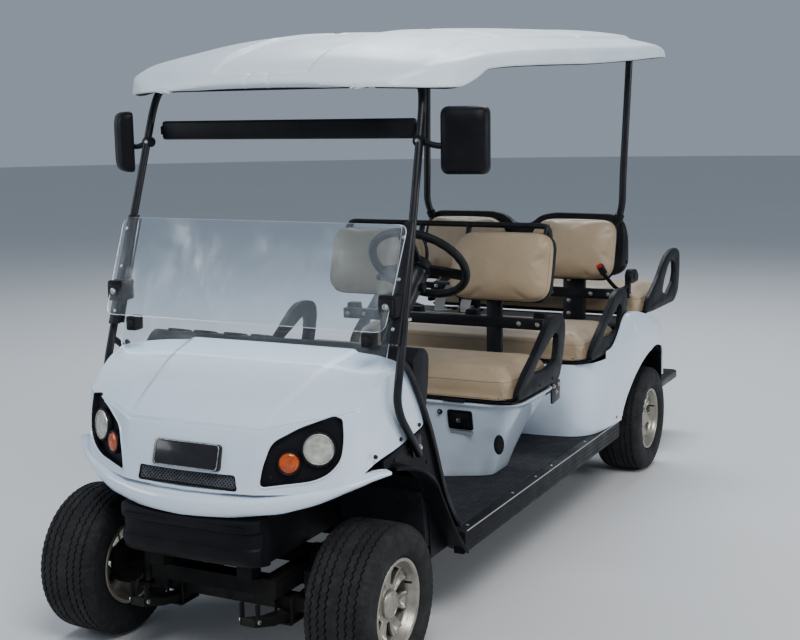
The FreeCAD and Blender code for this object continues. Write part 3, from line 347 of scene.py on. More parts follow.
# ------------------------------------------------------------------ mesh building
class Build:
    """Gathers faces in (x, station, z) millimetres and makes one object of them."""

    def __init__(self):
        self.v, self.f, self.k, self.keys = [], [], [], []

    def slot(self, key):
        if key not in self.keys:
            self.keys.append(key)
        return self.keys.index(key)

    def add(self, verts, faces, key, tf=None):
        base, k = len(self.v), self.slot(key)
        self.v += [tf @ Vector(v) if tf else Vector(v) for v in verts]
        self.f += [tuple(base + i for i in f) for f in faces]
        self.k += [k] * len(faces)

    def bm(self, bm, key, tf=None):
        bm.verts.index_update()
        self.add([v.co.copy() for v in bm.verts], [[v.index for v in f.verts] for f in bm.faces], key, tf)
        bm.free()

    # solids
    def box(self, a, b, key, r=2.0, seg=2, tf=None):
        bm = bmesh.new()
        bmesh.ops.create_cube(bm, size=1)
        for v in bm.verts:
            v.co = Vector([(p + q) / 2 + (q - p) * t for p, q, t in zip(a, b, v.co)])
        round_edges(bm, r, seg)
        self.bm(bm, key, tf)

    def prism(self, points, vec, key, r=2.0, seg=2, tf=None, angle=20):
        bm = bmesh.new()
        vec = Vector(vec)
        lo = [bm.verts.new(Vector(p)) for p in points]
        hi = [bm.verts.new(Vector(p) + vec) for p in points]
        n = len(points)
        bm.faces.new(lo)
        bm.faces.new(list(reversed(hi)))
        for i in range(n):
            bm.faces.new((lo[i], hi[i], hi[(i + 1) % n], lo[(i + 1) % n]))
        bmesh.ops.recalc_face_normals(bm, faces=bm.faces)
        round_edges(bm, r, seg, angle)
        self.bm(bm, key, tf)

    def side(self, outline, x0, x1, key, r=2.0, seg=2, tf=None):
        """Prism of a (station, z) outline from x0 to x1."""
        self.prism([V3(x0, s, z) for s, z in outline], (x1 - x0, 0, 0), key, r, seg, tf)

    def lathe(self, origin, axis, profile, key, n=32, tf=None, squash=None):
        """profile: (distance along the axis, radius); a radius of 0 closes an end."""
        axis = Vector(axis).normalized()
        u = axis.orthogonal().normalized()
        w = axis.cross(u)
        verts, rings, faces = [], [], []
        for t, r in profile:
            if r < 1e-6:
                rings.append([len(verts)])
                verts.append(Vector(origin) + axis * t)
            else:
                rings.append(list(range(len(verts), len(verts) + n)))
                for i in range(n):
                    a = 2 * math.pi * i / n
                    verts.append(Vector(origin) + axis * t + (u * math.cos(a) + w * math.sin(a)) * r)
        for a, b in zip(rings, rings[1:]):
            for i in range(n):
                j = (i + 1) % n
                if len(a) == 1 and len(b) == 1:
                    continue
                if len(a) == 1:
                    faces.append((a[0], b[i], b[j]))
                elif len(b) == 1:
                    faces.append((a[i], b[0], a[j]))
                else:
                    faces.append((a[i], b[i], b[j], a[j]))
        self.add(verts, faces, key, tf)

    def cyl(self, a, b, r, key, n=20, edge=1.2, tf=None):
        a, b = Vector(a), Vector(b)
        h = (b - a).length
        e = min(edge, r * 0.45, h * 0.4)
        self.lathe(a, b - a, [(0, 0), (0, r - e), (e * 0.3, r - e * 0.3), (e, r), (h - e, r), (h - e * 0.3, r - e * 0.3), (h, r - e), (h, 0)],
                   key, n, tf)

    def bolt(self, at, axis, r, key="bright", height=None, tf=None):
        """Hexagon head on a washer."""
        axis = Vector(axis).normalized()
        h = height or r * 0.8
        self.cyl(Vector(at), Vector(at) + axis * h * 0.25, r * 1.5, key, 16, 0.5, tf)
        u = axis.orthogonal().normalized()
        w = axis.cross(u)
        ring = [Vector(at) + axis * h * 0.2 + (u * math.cos(a) + w * math.sin(a)) * r for a in [math.pi / 3 * i for i in range(6)]]
        self.prism(ring, axis * h, key, r * 0.12, 1, tf)

    def tube(self, points, r, key, n=12, tf=None, closed=False, flat=None, up=None):
        """Round (or flat = (half width, half height)) bar along points."""
        pts = [Vector(p) for p in points]
        m = len(pts)
        tangents = []
        for i in range(m):
            a = pts[i - 1] if (i > 0 or closed) else pts[i]
            b = pts[(i + 1) % m] if (i < m - 1 or closed) else pts[i]
            tangents.append((b - a).normalized())
        ref = Vector(up) if up else (tangents[0].orthogonal())
        frames = []
        for t in tangents:
            ref = ref - t * ref.dot(t)
            if ref.length < 1e-4:
                ref = t.orthogonal()
            ref.normalize()
            if up:
                ref = (Vector(up) - t * Vector(up).dot(t)).normalized()
            frames.append((ref.copy(), t.cross(ref)))
        verts, rings, faces = [], [], []

        def section(i, scale, shift):
            u, w = frames[i]
            ring = []
            for k in range(n):
                a = 2 * math.pi * k / n
                if flat:
                    c, s = math.cos(a), math.sin(a)
                    q = 0.35
                    x = flat[0] * math.copysign(abs(c) ** q, c)
                    y = flat[1] * math.copysign(abs(s) ** q, s)
                else:
                    x, y = r * math.cos(a), r * math.sin(a)
                ring.append(len(verts))
                verts.append(pts[i] + tangents[i] * shift + u * (y * scale) + w * (x * scale))
            rings.append(ring)

        rr = min(flat) if flat else r
        if not closed:
            section(0, 0.72, 0)
            section(0, 0.93, rr * 0.10)
        for i in range(m):
            if not closed and i in (0, m - 1):
                section(i, 1.0, rr * 0.3 * (1 if i == 0 else -1))
            else:
                section(i, 1.0, 0)
        if not closed:
            section(m - 1, 0.93, -rr * 0.10)
            section(m - 1, 0.72, 0)
        pairs = list(zip(rings, rings[1:])) + ([(rings[-1], rings[0])] if closed else [])
        for a, b in pairs:
            for k in range(n):
                faces.append((a[k], b[k], b[(k + 1) % n], a[(k + 1) % n]))
        if not closed:
            faces.append(tuple(rings[0]))
            faces.append(tuple(reversed(rings[-1])))
        self.add(verts, faces, key, tf)

    def grid(self, rows, key, tf=None, wrap=False):
        verts = [p for row in rows for p in row]
        w, faces = len(rows[0]), []
        for i in range(len(rows) - 1):
            for j in range(w if wrap else w - 1):
                a, b = i * w + j, i * w + (j + 1) % w
                faces.append((a, b, b + w, a + w))
        self.add(verts, faces, key, tf)

    def done(self, name, body="chassis", replaces=(), angle=32, fix=True, weld=0.0, slot=None):
        me = bpy.data.meshes.new(name)
        me.from_pydata([(v.x * 0.001, v.y * 0.001 + FY, v.z * 0.001) for v in self.v], [], self.f)
        for key in self.keys:
            me.materials.append(M[key])
        me.polygons.foreach_set("material_index", self.k)
        obj = bpy.data.objects.new(name, me)
        bpy.context.scene.collection.objects.link(obj)
        if fix or weld:
            bm = bmesh.new()
            bm.from_mesh(me)
            if weld:
                bmesh.ops.remove_doubles(bm, verts=bm.verts, dist=weld * 0.001)
            if fix:
                bmesh.ops.recalc_face_normals(bm, faces=bm.faces)
            bm.to_mesh(me)
            bm.free()
        shade(me, angle)
        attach(obj, body)
        if replaces:
            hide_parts(*replaces)
        return obj


def shade(me, angle):
    me.polygons.foreach_set("use_smooth", [True] * len(me.polygons))
    me.set_sharp_from_angle(angle=math.radians(angle))
    me.update()


def round_edges(bm, r, seg=2, angle=20):
    if r <= 0:
        return
    edges = [e for e in bm.edges if len(e.link_faces) == 2 and e.calc_face_angle(0) > math.radians(angle)]
    if edges:
        bmesh.ops.bevel(bm, geom=edges, offset=r, segments=seg, profile=0.5, affect="EDGES", clamp_overlap=True)


def apply_modifiers(obj, angle=32):
    graph = bpy.context.evaluated_depsgraph_get()
    graph.update()
    me = bpy.data.meshes.new_from_object(obj.evaluated_get(graph), preserve_all_data_layers=True, depsgraph=graph)
    obj.modifiers.clear()
    obj.data = me
    shade(me, angle)
    return obj


def modify(obj, kind, **values):
    mod = obj.modifiers.new(kind.lower(), kind)
    for key, value in values.items():
        setattr(mod, key, value)
    return mod


def cut(obj, tools, op="DIFFERENCE", angle=32, solver="EXACT"):
    """Boolean with helper objects, which are removed."""
    for tool in tools:
        mod = modify(obj, "BOOLEAN", operation=op, solver=solver)
        mod.object = tool
    bpy.context.view_layer.update()
    apply_modifiers(obj, angle)
    for tool in tools:
        bpy.data.objects.remove(tool)
    return obj


def tool(build):
    """Helper object of a Build, for cut()."""
    me = bpy.data.meshes.new("tool")
    me.from_pydata([(v.x * 0.001, v.y * 0.001 + FY, v.z * 0.001) for v in build.v], [], build.f)
    bm = bmesh.new()
    bm.from_mesh(me)
    bmesh.ops.remove_doubles(bm, verts=bm.verts, dist=1e-6)
    bmesh.ops.recalc_face_normals(bm, faces=bm.faces)
    bm.to_mesh(me)
    bm.free()
    obj = bpy.data.objects.new("tool", me)
    bpy.context.scene.collection.objects.link(obj)
    return obj


def flip(points):
    return [V3(-p[0], p[1], p[2]) for p in points]


def both_hands(function):
    for hand in (1, -1):
        function(hand)


MIRROR = Matrix.Scale(-1, 4, Vector((1, 0, 0)))


def hand_tf(hand):
    return None if hand > 0 else MIRROR


# ------------------------------------------------------------------ front cowl
# half outline of the nose: columns x, station, z
CREASE = [(0, -190, 735), (110, -189, 735), (208, -186, 733), (232, -178, 738), (330, -128, 757), (412, -86, 772), (440, -68, 779),
          (452, -52, 782)]
FOOT = [(0, -232, 562), (110, -224, 562), (214, -206, 562), (240, -195, 562), (330, -152, 562), (412, -112, 562), (440, -92, 566),
        (456, -70, 575)]
REAR = [(0, 252, 892), (150, 251, 892), (285, 250, 892), (310, 243, 891), (370, 232, 889), (430, 208, 884), (470, 182, 878),
        (494, 157, 873)]
# bonnet: columns station, half width, z at the side, z at the crown
BONNET = [(-190, 214, 733, 735), (-86, 412, 772, 788), (-52, 452, 782, 803), (30, 488, 832, 838), (60, 491, 850, 852), (157, 494, 873, 876),
          (252, 494, 889, 893)]


def bonnet_z(x, s):
    _, half, side, crown = table_at(BONNET, s)
    edge = 208 + (s + 186) / 436 * 77
    drop = max(crown - side, 7.0)
    u = (abs(x) - edge) / max(half - edge, 20.0)
    step = 7.0 * smooth((abs(x) - edge) / 17.0)
    return crown - step - (drop - 7.0) * smooth(u)


def knee(row):
    """Curve through a row of points, with a crisp fold where the nose's centre panel meets the lamp facets (points 2 and 3)."""
    a, c = spline(row[:3], 4), spline(row[3:], 4)
    mid = [a[-1].lerp(c[0], t) for t in (0.34, 0.67)]
    return a + mid + c


def make_cowl():
    crease, foot, rear = [knee(row) for row in (CREASE, FOOT, REAR)]
    n = len(crease)
    b = Build()
    face_rows = []
    for k in range(8):
        t = k / 7
        row = []
        for j in range(n):
            p = foot[j].lerp(crease[j], t)
            out = 5.0 * math.sin(math.pi * t)
            row.append(p + V3(out * 0.25 * (p.x / 450), -out, 0))
        face_rows.append(row)
    top_rows = []
    steps = 17
    for k in range(steps + 1):
        t = k / steps
        row = []
        for j in range(n):
            p = crease[j].lerp(rear[j], t)
            z = bonnet_z(p.x, p.y)
            z = lerp(crease[j].z, z, smooth(t * 6)) if t < 1 / 6 else z
            row.append(V3(p.x, p.y, z))
        top_rows.append(row)
    # side panel: between its lower edge, the column at the nose corner, the bonnet's outer edge and the curved trim edge
    low = spline([(456, -70, 575), (466, -42, 606), (484, 10, 633), (492, 95, 645), (494, 190, 660), (494, 283, 676)], 5)
    high = [row[-1] for row in top_rows]
    back = spline([(494, 283, 676), (494, 264, 715), (494, 244, 757), (494, 207, 820), (494, 157, 873)], 3)
    front = [row[-1] for row in face_rows]

    def sample(curve, t):
        x = t * (len(curve) - 1)
        i = min(int(x), len(curve) - 2)
        return curve[i].lerp(curve[i + 1], x - i)

    side_rows = []
    for i in range(8):
        v = i / 7
        row = []
        for k in range(steps + 1):
            u = k / steps
            lo, hi = sample(low, u), high[k]
            le, ri = sample(front, v), sample(back, v)
            p = lo.lerp(hi, v) + le.lerp(ri, u) - (low[0].lerp(low[-1], u) * (1 - v) + high[0].lerp(high[-1], u) * v)
            swell = 5.0 * math.sin(math.pi * v) * math.sin(math.pi * min(u * 1.1, 1.0))
            row.append(p + V3(swell, 0, 0))
        side_rows.append(row)
    for hand in (1, -1):
        for rows in (face_rows, top_rows, side_rows):
            b.grid(rows, "white", hand_tf(hand))
    obj = b.done("front_cowl_skin", fix=False)
    bm = bmesh.new()
    bm.from_mesh(obj.data)
    bmesh.ops.remove_doubles(bm, verts=bm.verts, dist=0.0004)
    bmesh.ops.recalc_face_normals(bm, faces=bm.faces)
    probe = max(bm.faces, key=lambda f: f.calc_center_median().z)
    if probe.normal.z < 0:
        bmesh.ops.reverse_faces(bm, faces=bm.faces)
    edges = [e for e in bm.edges if len(e.link_faces) == 2 and e.calc_face_angle(0) > math.radians(20)]
    bmesh.ops.bevel(bm, geom=edges, offset=0.0038, segments=3, profile=0.5, affect="EDGES", clamp_overlap=True)
    bm.to_mesh(obj.data)
    bm.free()
    modify(obj, "SUBSURF", levels=1, render_levels=1)
    apply_modifiers(obj, 30)
    surface = BVHTree.FromPolygons([v.co.copy() for v in obj.data.vertices], [tuple(p.vertices) for p in obj.data.polygons])
    modify(obj, "SOLIDIFY", thickness=0.0045, offset=-1.0)
    apply_modifiers(obj, 30)
    return obj, surface


LAMP_N = Vector((0.448, -0.8884, 0.0997)).normalized()
LAMP_C = V3(326, -143, 673)
BEZEL = [(230, -201, 583), (238, -191, 640), (259, -173, 705), (332, -132, 745), (403, -93, 771), (425, -82, 766),
         (429, -86, 712), (424, -95, 656), (397, -113, 620), (358, -134, 601)]
HEADLAMP, MARKER = V3(371, -119, 685), V3(299, -157, 648)


def in_lamp_plane(p, out=0.0):
    p = Vector(p)
    return p - LAMP_N * ((p - LAMP_C).dot(LAMP_N) - out)


def bezel_outline(shrink=0.0, out=0.0, steps=4):
    pts = [in_lamp_plane(p) for p in BEZEL]
    c = sum(pts, Vector()) / len(pts)
    pts = fillet(pts, 22, steps, True)
    res = []
    for p in pts:
        d = p - c
        res.append(c + d * (1 - shrink / d.length) + LAMP_N * out)
    return res


cowl, cowl_surface = make_cowl()
tools = []
for hand in (1, -1):
    t = Build()
    t.prism(bezel_outline(-5, 70), -LAMP_N * 150, "white", 0, tf=hand_tf(hand))
    tools.append(tool(t))
t = Build()
t.prism(fillet([V3(-166, -300, 568), V3(166, -300, 568), V3(160, -300, 613), V3(-160, -300, 613)], 9, 4, True), (0, 150, 0), "white", 0)
tools.append(tool(t))
cut(cowl, tools, angle=30, solver="MANIFOLD")
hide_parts("front_cowl")


def on_cowl(p, normal, hand=1):
    """Point of the cowl's outer skin on the line through p along normal."""
    q = Vector(p)
    start = Vector((q.x * 0.001, q.y * 0.001 + FY, q.z * 0.001)) + normal * 0.15
    hit = cowl_surface.ray_cast(start, -normal, 0.4)[0]
    if hit is None:
        return q
    return V3(hit.x * 1000, (hit.y - FY) * 1000, hit.z * 1000)


def make_lamps():
    rim, tray, lamp = Build(), Build(), Build()
    outline = bezel_outline(-5, 0, 5)
    skin = [on_cowl(p, LAMP_N) for p in outline]
    depth = [min((p - LAMP_C).dot(LAMP_N), 12.0) for p in skin]
    floor = bezel_outline(1, -17, 5)
    for hand in (1, -1):
        tf = hand_tf(hand)
        rim.tube([p + LAMP_N * 0.1 for p in skin], 2.8, "white", 10, tf, closed=True)
        inner = [p - (p - LAMP_C).normalized() * 1.6 for p in skin]
        rows = [inner, [a.lerp(b, 0.35) for a, b in zip(inner, floor)], floor]
        tray.grid([list(r) for r in rows], "plastic", tf, wrap=True)
        tray.prism(bezel_outline(0, -17, 5), -LAMP_N * 5, "plastic", 0, tf=tf)
        # headlamp: outer ring, reflector wall and domed lens
        for centre, r, dome, key in ((HEADLAMP, 46, 7, "lens"), (MARKER, 32, 9, "orange")):
            c = in_lamp_plane(centre, -16)
            lamp.lathe(c, LAMP_N, [(0, r + 3), (11, r + 3), (14.5, r + 1.5), (15, r - 1), (13, r - 4), (2, r - 6), (0, r - 6)], "plastic" if key == "orange" else "urethane", 40, tf)
            steps = [(11 + dome * math.cos(a), (r - 3.5) * math.sin(a)) for a in [k * math.pi / 2 / 8 for k in range(9)]]
            prof = steps + [(9, r - 3.5), (4, r - 4), (4, 0)]
            lamp.lathe(c, LAMP_N, prof, key, 40, tf)
            if key == "lens":
                lamp.lathe(c, LAMP_N, [(13.5, r - 3.2), (15.6, r - 3.8), (16.4, r - 6.5), (15.4, r - 7.5), (13.4, r - 6.5), (13.5, r - 3.2)], "bright", 40, tf)
                for q in (0.30, 0.62):
                    rr = (r - 3.5) * q
                    lamp.lathe(c, LAMP_N, [(11 + dome * math.sqrt(1 - q * q) - 0.8, rr - 2.2), (11 + dome * math.sqrt(1 - q * q) + 0.5, rr),
                                           (11 + dome * math.sqrt(1 - q * q) - 1.6, rr + 2.2)], key, 40, tf)
            else:
                for q in (0.35, 0.65, 0.88):
                    rr = (r - 3.5) * q
                    lamp.lathe(c, LAMP_N, [(11 + dome * math.sqrt(1 - q * q) - 0.6, rr - 1.4), (11 + dome * math.sqrt(1 - q * q) + 1.0, rr),
                                           (11 + dome * math.sqrt(1 - q * q) - 1.2, rr + 1.4)], key, 40, tf)
        for q in ((246, -190, 600), (262, -172, 694), (412, -90, 760), (402, -108, 632)):
            lamp.bolt(in_lamp_plane(q, -16) + (in_lamp_plane(LAMP_C) - in_lamp_plane(q)).normalized() * 13, LAMP_N, 3.4, "urethane", tf=tf)
    rim.done("headlamp_rims")
    tray.done("headlamp_trays", replaces=["headlamp_bezels"], fix=True)
    lamp.done("headlamps_and_markers", replaces=["lamps"], slot="lamp_lens")


make_lamps()


def lip_curve(t, d, z):
    """Point of the skirt: t from -1 to 1 across, d inward, z height."""
    q = abs(t)
    tangent = Vector((545, 472 * t, 0)).normalized()
    inward = Vector((-tangent.y, tangent.x, 0))
    inward = (inward * 0.55 + Vector((0, 1, 0)) * 0.45).normalized()
    bulge = 13 * smooth((q - 0.40) / 0.32) * (1 - smooth((q - 0.72) / 0.28)) - 7 * smooth((q - 0.86) / 0.14)
    wide = (545 * q + bulge) * (1 if t > 0 else -1)
    if d > 10:
        turn = smooth((q - 0.42) / 0.28)
        side = Vector((-0.90 if t > 0 else 0.90, 0.44, 0))
        far = (inward * (1 - turn) + side * turn).normalized()
        return V3(wide, -252 + 236 * q ** 2, z) + inward * 10 + far * (d - 10)
    return V3(wide, -252 + 236 * q ** 2, z) + inward * d


def make_lip():
    b = Build()
    rows = []
    n = 68
    for k in range(n + 1):
        t = -1 + 2 * k / n
        q = abs(t)
        z0 = float(np.interp(q, [0, 0.28, 0.52, 0.66, 0.80, 0.92, 1.0], [493, 497, 511, 534, 566, 591, 603]))
        z1 = float(np.interp(q, [0, 0.30, 0.50, 0.60, 0.71, 0.83, 0.94, 1.0], [545, 547, 554, 562, 573, 593, 611, 614]))
        h = z1 - z0
        swell = 5 * (1 - 0.8 * smooth((q - 0.8) / 0.2))
        tip = smooth((q - 0.88) / 0.06)
        lift = 1 - 0.9 * smooth((q - 0.70) / 0.16)
        section = [(26, z0 + 3), (10, z0 + 0.5), (3.5, z0 + 1.5), (0.8, z0 + 5), (-0.5 * swell * 0.4, z0 + h * 0.3), (-swell * 0.4, z0 + h * 0.5),
                   (-0.2 * swell, z0 + h * 0.72), (1.5, z1 - h * 0.12), (4.5, z1 - h * 0.05), (9, z1 - 0.6), (16, z1 + 2.0 * lift), (24, z1 + 6 * lift), (38, z1 + 14 * lift),
                   (60 - 36 * tip, z1 + 18 * lift)]
        end = 1 - 0.25 * smooth((q - 0.975) / 0.025)
        mid = (z0 + z1) / 2
        rows.append([lip_curve(t, d, mid + (z - mid) * end) for d, z in section])
    b.grid(rows, "white")
    for row in (rows[0], rows[-1]):
        pts = row[2:] + [lip_curve(-1 if row is rows[0] else 1, 24, 606)]
        c = sum(pts, Vector()) / len(pts)
        b.add([c] + pts, [(0, i, i + 1) for i in range(1, len(pts))], "white")
    obj = b.done("front_skirt", weld=0.3, angle=40)
    modify(obj, "SOLIDIFY", thickness=0.0045, offset=-1.0)
    apply_modifiers(obj, 40)
    f = Build()
    for x, s, z in ((488, -14, 651), (493, 130, 668), (494, 248, 684)):
        for hand in (1, -1):
            f.cyl((x - 3, s, z), (x + 5.5, s - 1, z), 6.0, "urethane", 18, 1.5, hand_tf(hand))
    f.done("cowl_fasteners")


make_lip()


def make_front_details():
    b = Build()
    # grille: frame, backing and crossed bars
    outline = [V3(-164, -214, 571), V3(164, -214, 571), V3(158, -206, 611), V3(-158, -206, 611)]
    frame_pts = fillet(outline, 8, 4, True)
    b.tube(frame_pts, 3.2, "plastic", 8, closed=True)
    b.prism([p + V3(0, 11, 0) for p in frame_pts], (0, 3, 0), "plastic", 0)
    for k in range(-19, 20):
        for lean in (1, -1):
            x = k * 11.0
            ends = []
            for t in (0.0, 1.0):
                ends.append((x + (t - 0.5) * 38 * lean, t))
            (xa, ta), (xc, tc) = ends
            pts = []
            for t in (0.03, 0.97):
                pts.append(V3(xa + (xc - xa) * t, -212.5 + 8 * t, 571 + 40 * t))
            for i in (0, 1):
                other = pts[1 - i]
                if abs(pts[i].x) > 158 and abs(other.x) < 158:
                    f = (158 - abs(other.x)) / (abs(pts[i].x) - abs(other.x))
                    pts[i] = other + (pts[i] - other) * f
            if all(abs(p.x) < 158.5 for p in pts) and (pts[1] - pts[0]).length > 4:
                b.tube(pts, 1.9, "mesh_grey", 6)
    b.done("grille_mesh", replaces=["grille"])
    p = Build()
    n = Vector((0, -1, 0.30)).normalized()
    up = Vector((0, 0.289, 0.957)).normalized()
    c = V3(6, -217, 657)

    def at(x, h, out=0.0):
        return c + V3(x, 0, 0) + up * h + n * out
    plate = fillet([at(-111, -37), at(111, -37), at(111, 37), at(-111, 37)], 13, 5, True)
    p.prism([q - n * 16 for q in plate], n * 19, "plate", 2.0, 2)
    p.tube([q * 1.0 + n * 3.2 + (at(0, 0) - q).normalized() * 6 for q in plate], 1.5, "bright", 6, closed=True)
    p.done("nameplate_blank", replaces=["nameplate"], slot="plate_black")
    q = Build()
    rows = []
    for x in [-234, -232, -226, -216, -200, -180, -150, -110, -70, -30, 30, 70, 110, 150, 180, 200, 216, 226, 232, 234]:
        u = abs(x) / 234
        back = 14 * u ** 4 + 22 * max(0.0, (u - 0.86) / 0.14) ** 2
        sag = 10 * (1 - u * u)
        prof = [(-162, 356), (-206, 354), (-224, 357), (-235, 366), (-245, 384), (-246, 398 + sag * 0.3), (-244, 408), (-237, 413), (-235.5, 420),
                (-235.5, 446 - sag * 0.6), (-237, 453), (-245, 458), (-247.5, 464), (-247.5, 482), (-245, 488), (-238, 491), (-224, 492), (-162, 492)]
        rows.append([V3(x, min(st + back, -161.5), z) for st, z in prof])
    q.grid(rows, "plastic")
    for row, order in ((rows[0], 1), (rows[-1], -1)):
        q.add(row, [tuple(range(len(row)))[::order]], "plastic")
    q.add([rows[0][0], rows[0][-1], rows[-1][-1], rows[-1][0]], [(0, 1, 2, 3)], "plastic")
    for hand in (1, -1):
        q.box((hand * 150 - 26, -170, 300), (hand * 150 + 26, -120, 420), "frame", 4)
        q.tube([V3(hand * 60, -247.6, 474), V3(hand * 200, -246, 474)], 1, "plastic", 8, flat=(3.5, 1.6), up=(0, 1, 0))
    q.done("front_bumper_moulding", replaces=["front_bumper"])


make_front_details()


# ------------------------------------------------------------------ black fenders
def make_fenders():
    # fender side panel and flare; columns: station, z
    outer = [(26, 629), (286, 670), (249, 759), (212, 822), (161, 876), (170, 888), (221, 829), (260, 763), (301, 680), (346, 575), (396, 480),
             (450, 388), (506, 306), (480, 300)]
    inner = [(466, 258), (374, 343), (291, 457), (242, 524), (154, 581), (70, 601), (26, 605)]
    edge = spline([V3(0, s, z) for s, z in [(70, 601), (154, 581), (242, 524), (291, 457), (374, 343), (446, 262), (468, 240)]], 6)
    b = Build()
    panel = [(p.y, p.z) for p in fillet([V3(0, s, z) for s, z in outer + inner], 6, 2, True)]
    for hand in (1, -1):
        tf = hand_tf(hand)
        b.side(panel, 484.5, 494, "plastic", 1.6, 2, tf)
        rows = []
        for i, p in enumerate(edge):
            a = edge[max(i - 1, 0)]
            c = edge[min(i + 1, len(edge) - 1)]
            t = (c - a).normalized()
            nrm = Vector((0, t.z, -t.y))
            if nrm.z > 0:
                nrm = -nrm
            grow = 0.35 + 0.65 * smooth(i / 7)
            w = 66 * grow
            rows.append([p + V3(488, 0, 0) - nrm * 6, p + V3(488 + w * 0.5, 0, 0) - nrm * 4.5, p + V3(488 + w * 0.9, 0, 0) - nrm * 2.5,
                         p + V3(488 + w, 0, 0), p + V3(488 + w + 2.5, 0, 0) + nrm * 3.5, p + V3(488 + w, 0, 0) + nrm * 8,
                         p + V3(488 + w * 0.9, 0, 0) + nrm * 8.5, p + V3(488 + w * 0.86, 0, 0) + nrm * 3, p + V3(488 + w * 0.45, 0, 0) + nrm * 1,
                         p + V3(488, 0, 0) + nrm * 0])
        b.grid(rows, "plastic", tf, wrap=True)
        for row, order in ((rows[0], 1), (rows[-1], -1)):
            b.add(row, [tuple(range(len(row)))[::order]], "plastic", tf)
        # rounded trim strip along the rear edge
        strip = spline([V3(503, s, z) for s, z in [(112, 899), (140, 882), (178, 849), (234, 774), (311, 648), (380, 496), (424, 411), (505, 306)]], 6)
        b.tube(strip, 7, "urethane", 12, tf, flat=(9, 6.5), up=(1, 0, 0))
        # liner behind the wheel, down to the floor pan: a dark sheet that stands in for the shade behind the wheel
        liner = spline([V3(0, s, z) for s, z in [(240, 527), (291, 459), (318, 402), (328, 345), (331, 290), (331, 250)]], 4)
        sheet = [[p + V3(300, 0, 0), p + V3(487, 0, 0), p + V3(487, 3.2, 0), p + V3(300, 3.2, 0)] for p in liner]
        b.grid(sheet, "plastic", tf, wrap=True)
        for row, order in ((sheet[0], 1), (sheet[-1], -1)):
            b.add(row, [tuple(range(4))[::order]], "plastic", tf)
        b.side([(292, 462), (319, 402), (329, 345), (332, 290), (332, 250), (460, 250), (452, 268), (378, 346)], 484.2, 488.5, "plastic", 0.8, 1, tf)
        # wheel house: roof and inner wall, with stiffening ribs; the inner walls are dark sheets that stand in for the
        # shade between bumper and wheel
        b.box((215, 32, 601), (486, 256, 606), "plastic", 1.5, tf=tf)
        b.box((215, -58, 472), (221, 256, 604), "plastic", 1.5, tf=tf)
        b.box((222.5, -157, 356), (226, 252, 600), "plastic", 1.2, tf=tf)
        for s in (70, 120, 170, 220):
            b.box((222, s - 2, 594), (480, s + 2, 601.5), "plastic", 0.8, 1, tf=tf)
        for s, z in ((90, 616), (180, 628), (262, 640), (300, 560), (350, 462)):
            b.cyl((493, s, z), (498, s, z), 6, "urethane", 16, 1.2, tf)
        b.bolt((497, 213, 629), (1, 0, 0), 8, "bright", tf=tf)
    b.done("fender_mouldings", replaces=["splash_panels"], angle=38)


make_fenders()


# ------------------------------------------------------------------ wheels
TYRE = [(-78.8, 124.6), (-81.8, 133.8), (-86, 135.4), (-91.5, 139.5), (-95.5, 147), (-97, 149.5), (-98.6, 153), (-100, 161), (-101, 176),
        (-100.6, 190), (-99.0, 194.5), (-99.6, 197), (-97.4, 204), (-92.5, 213.5), (-86, 220)]


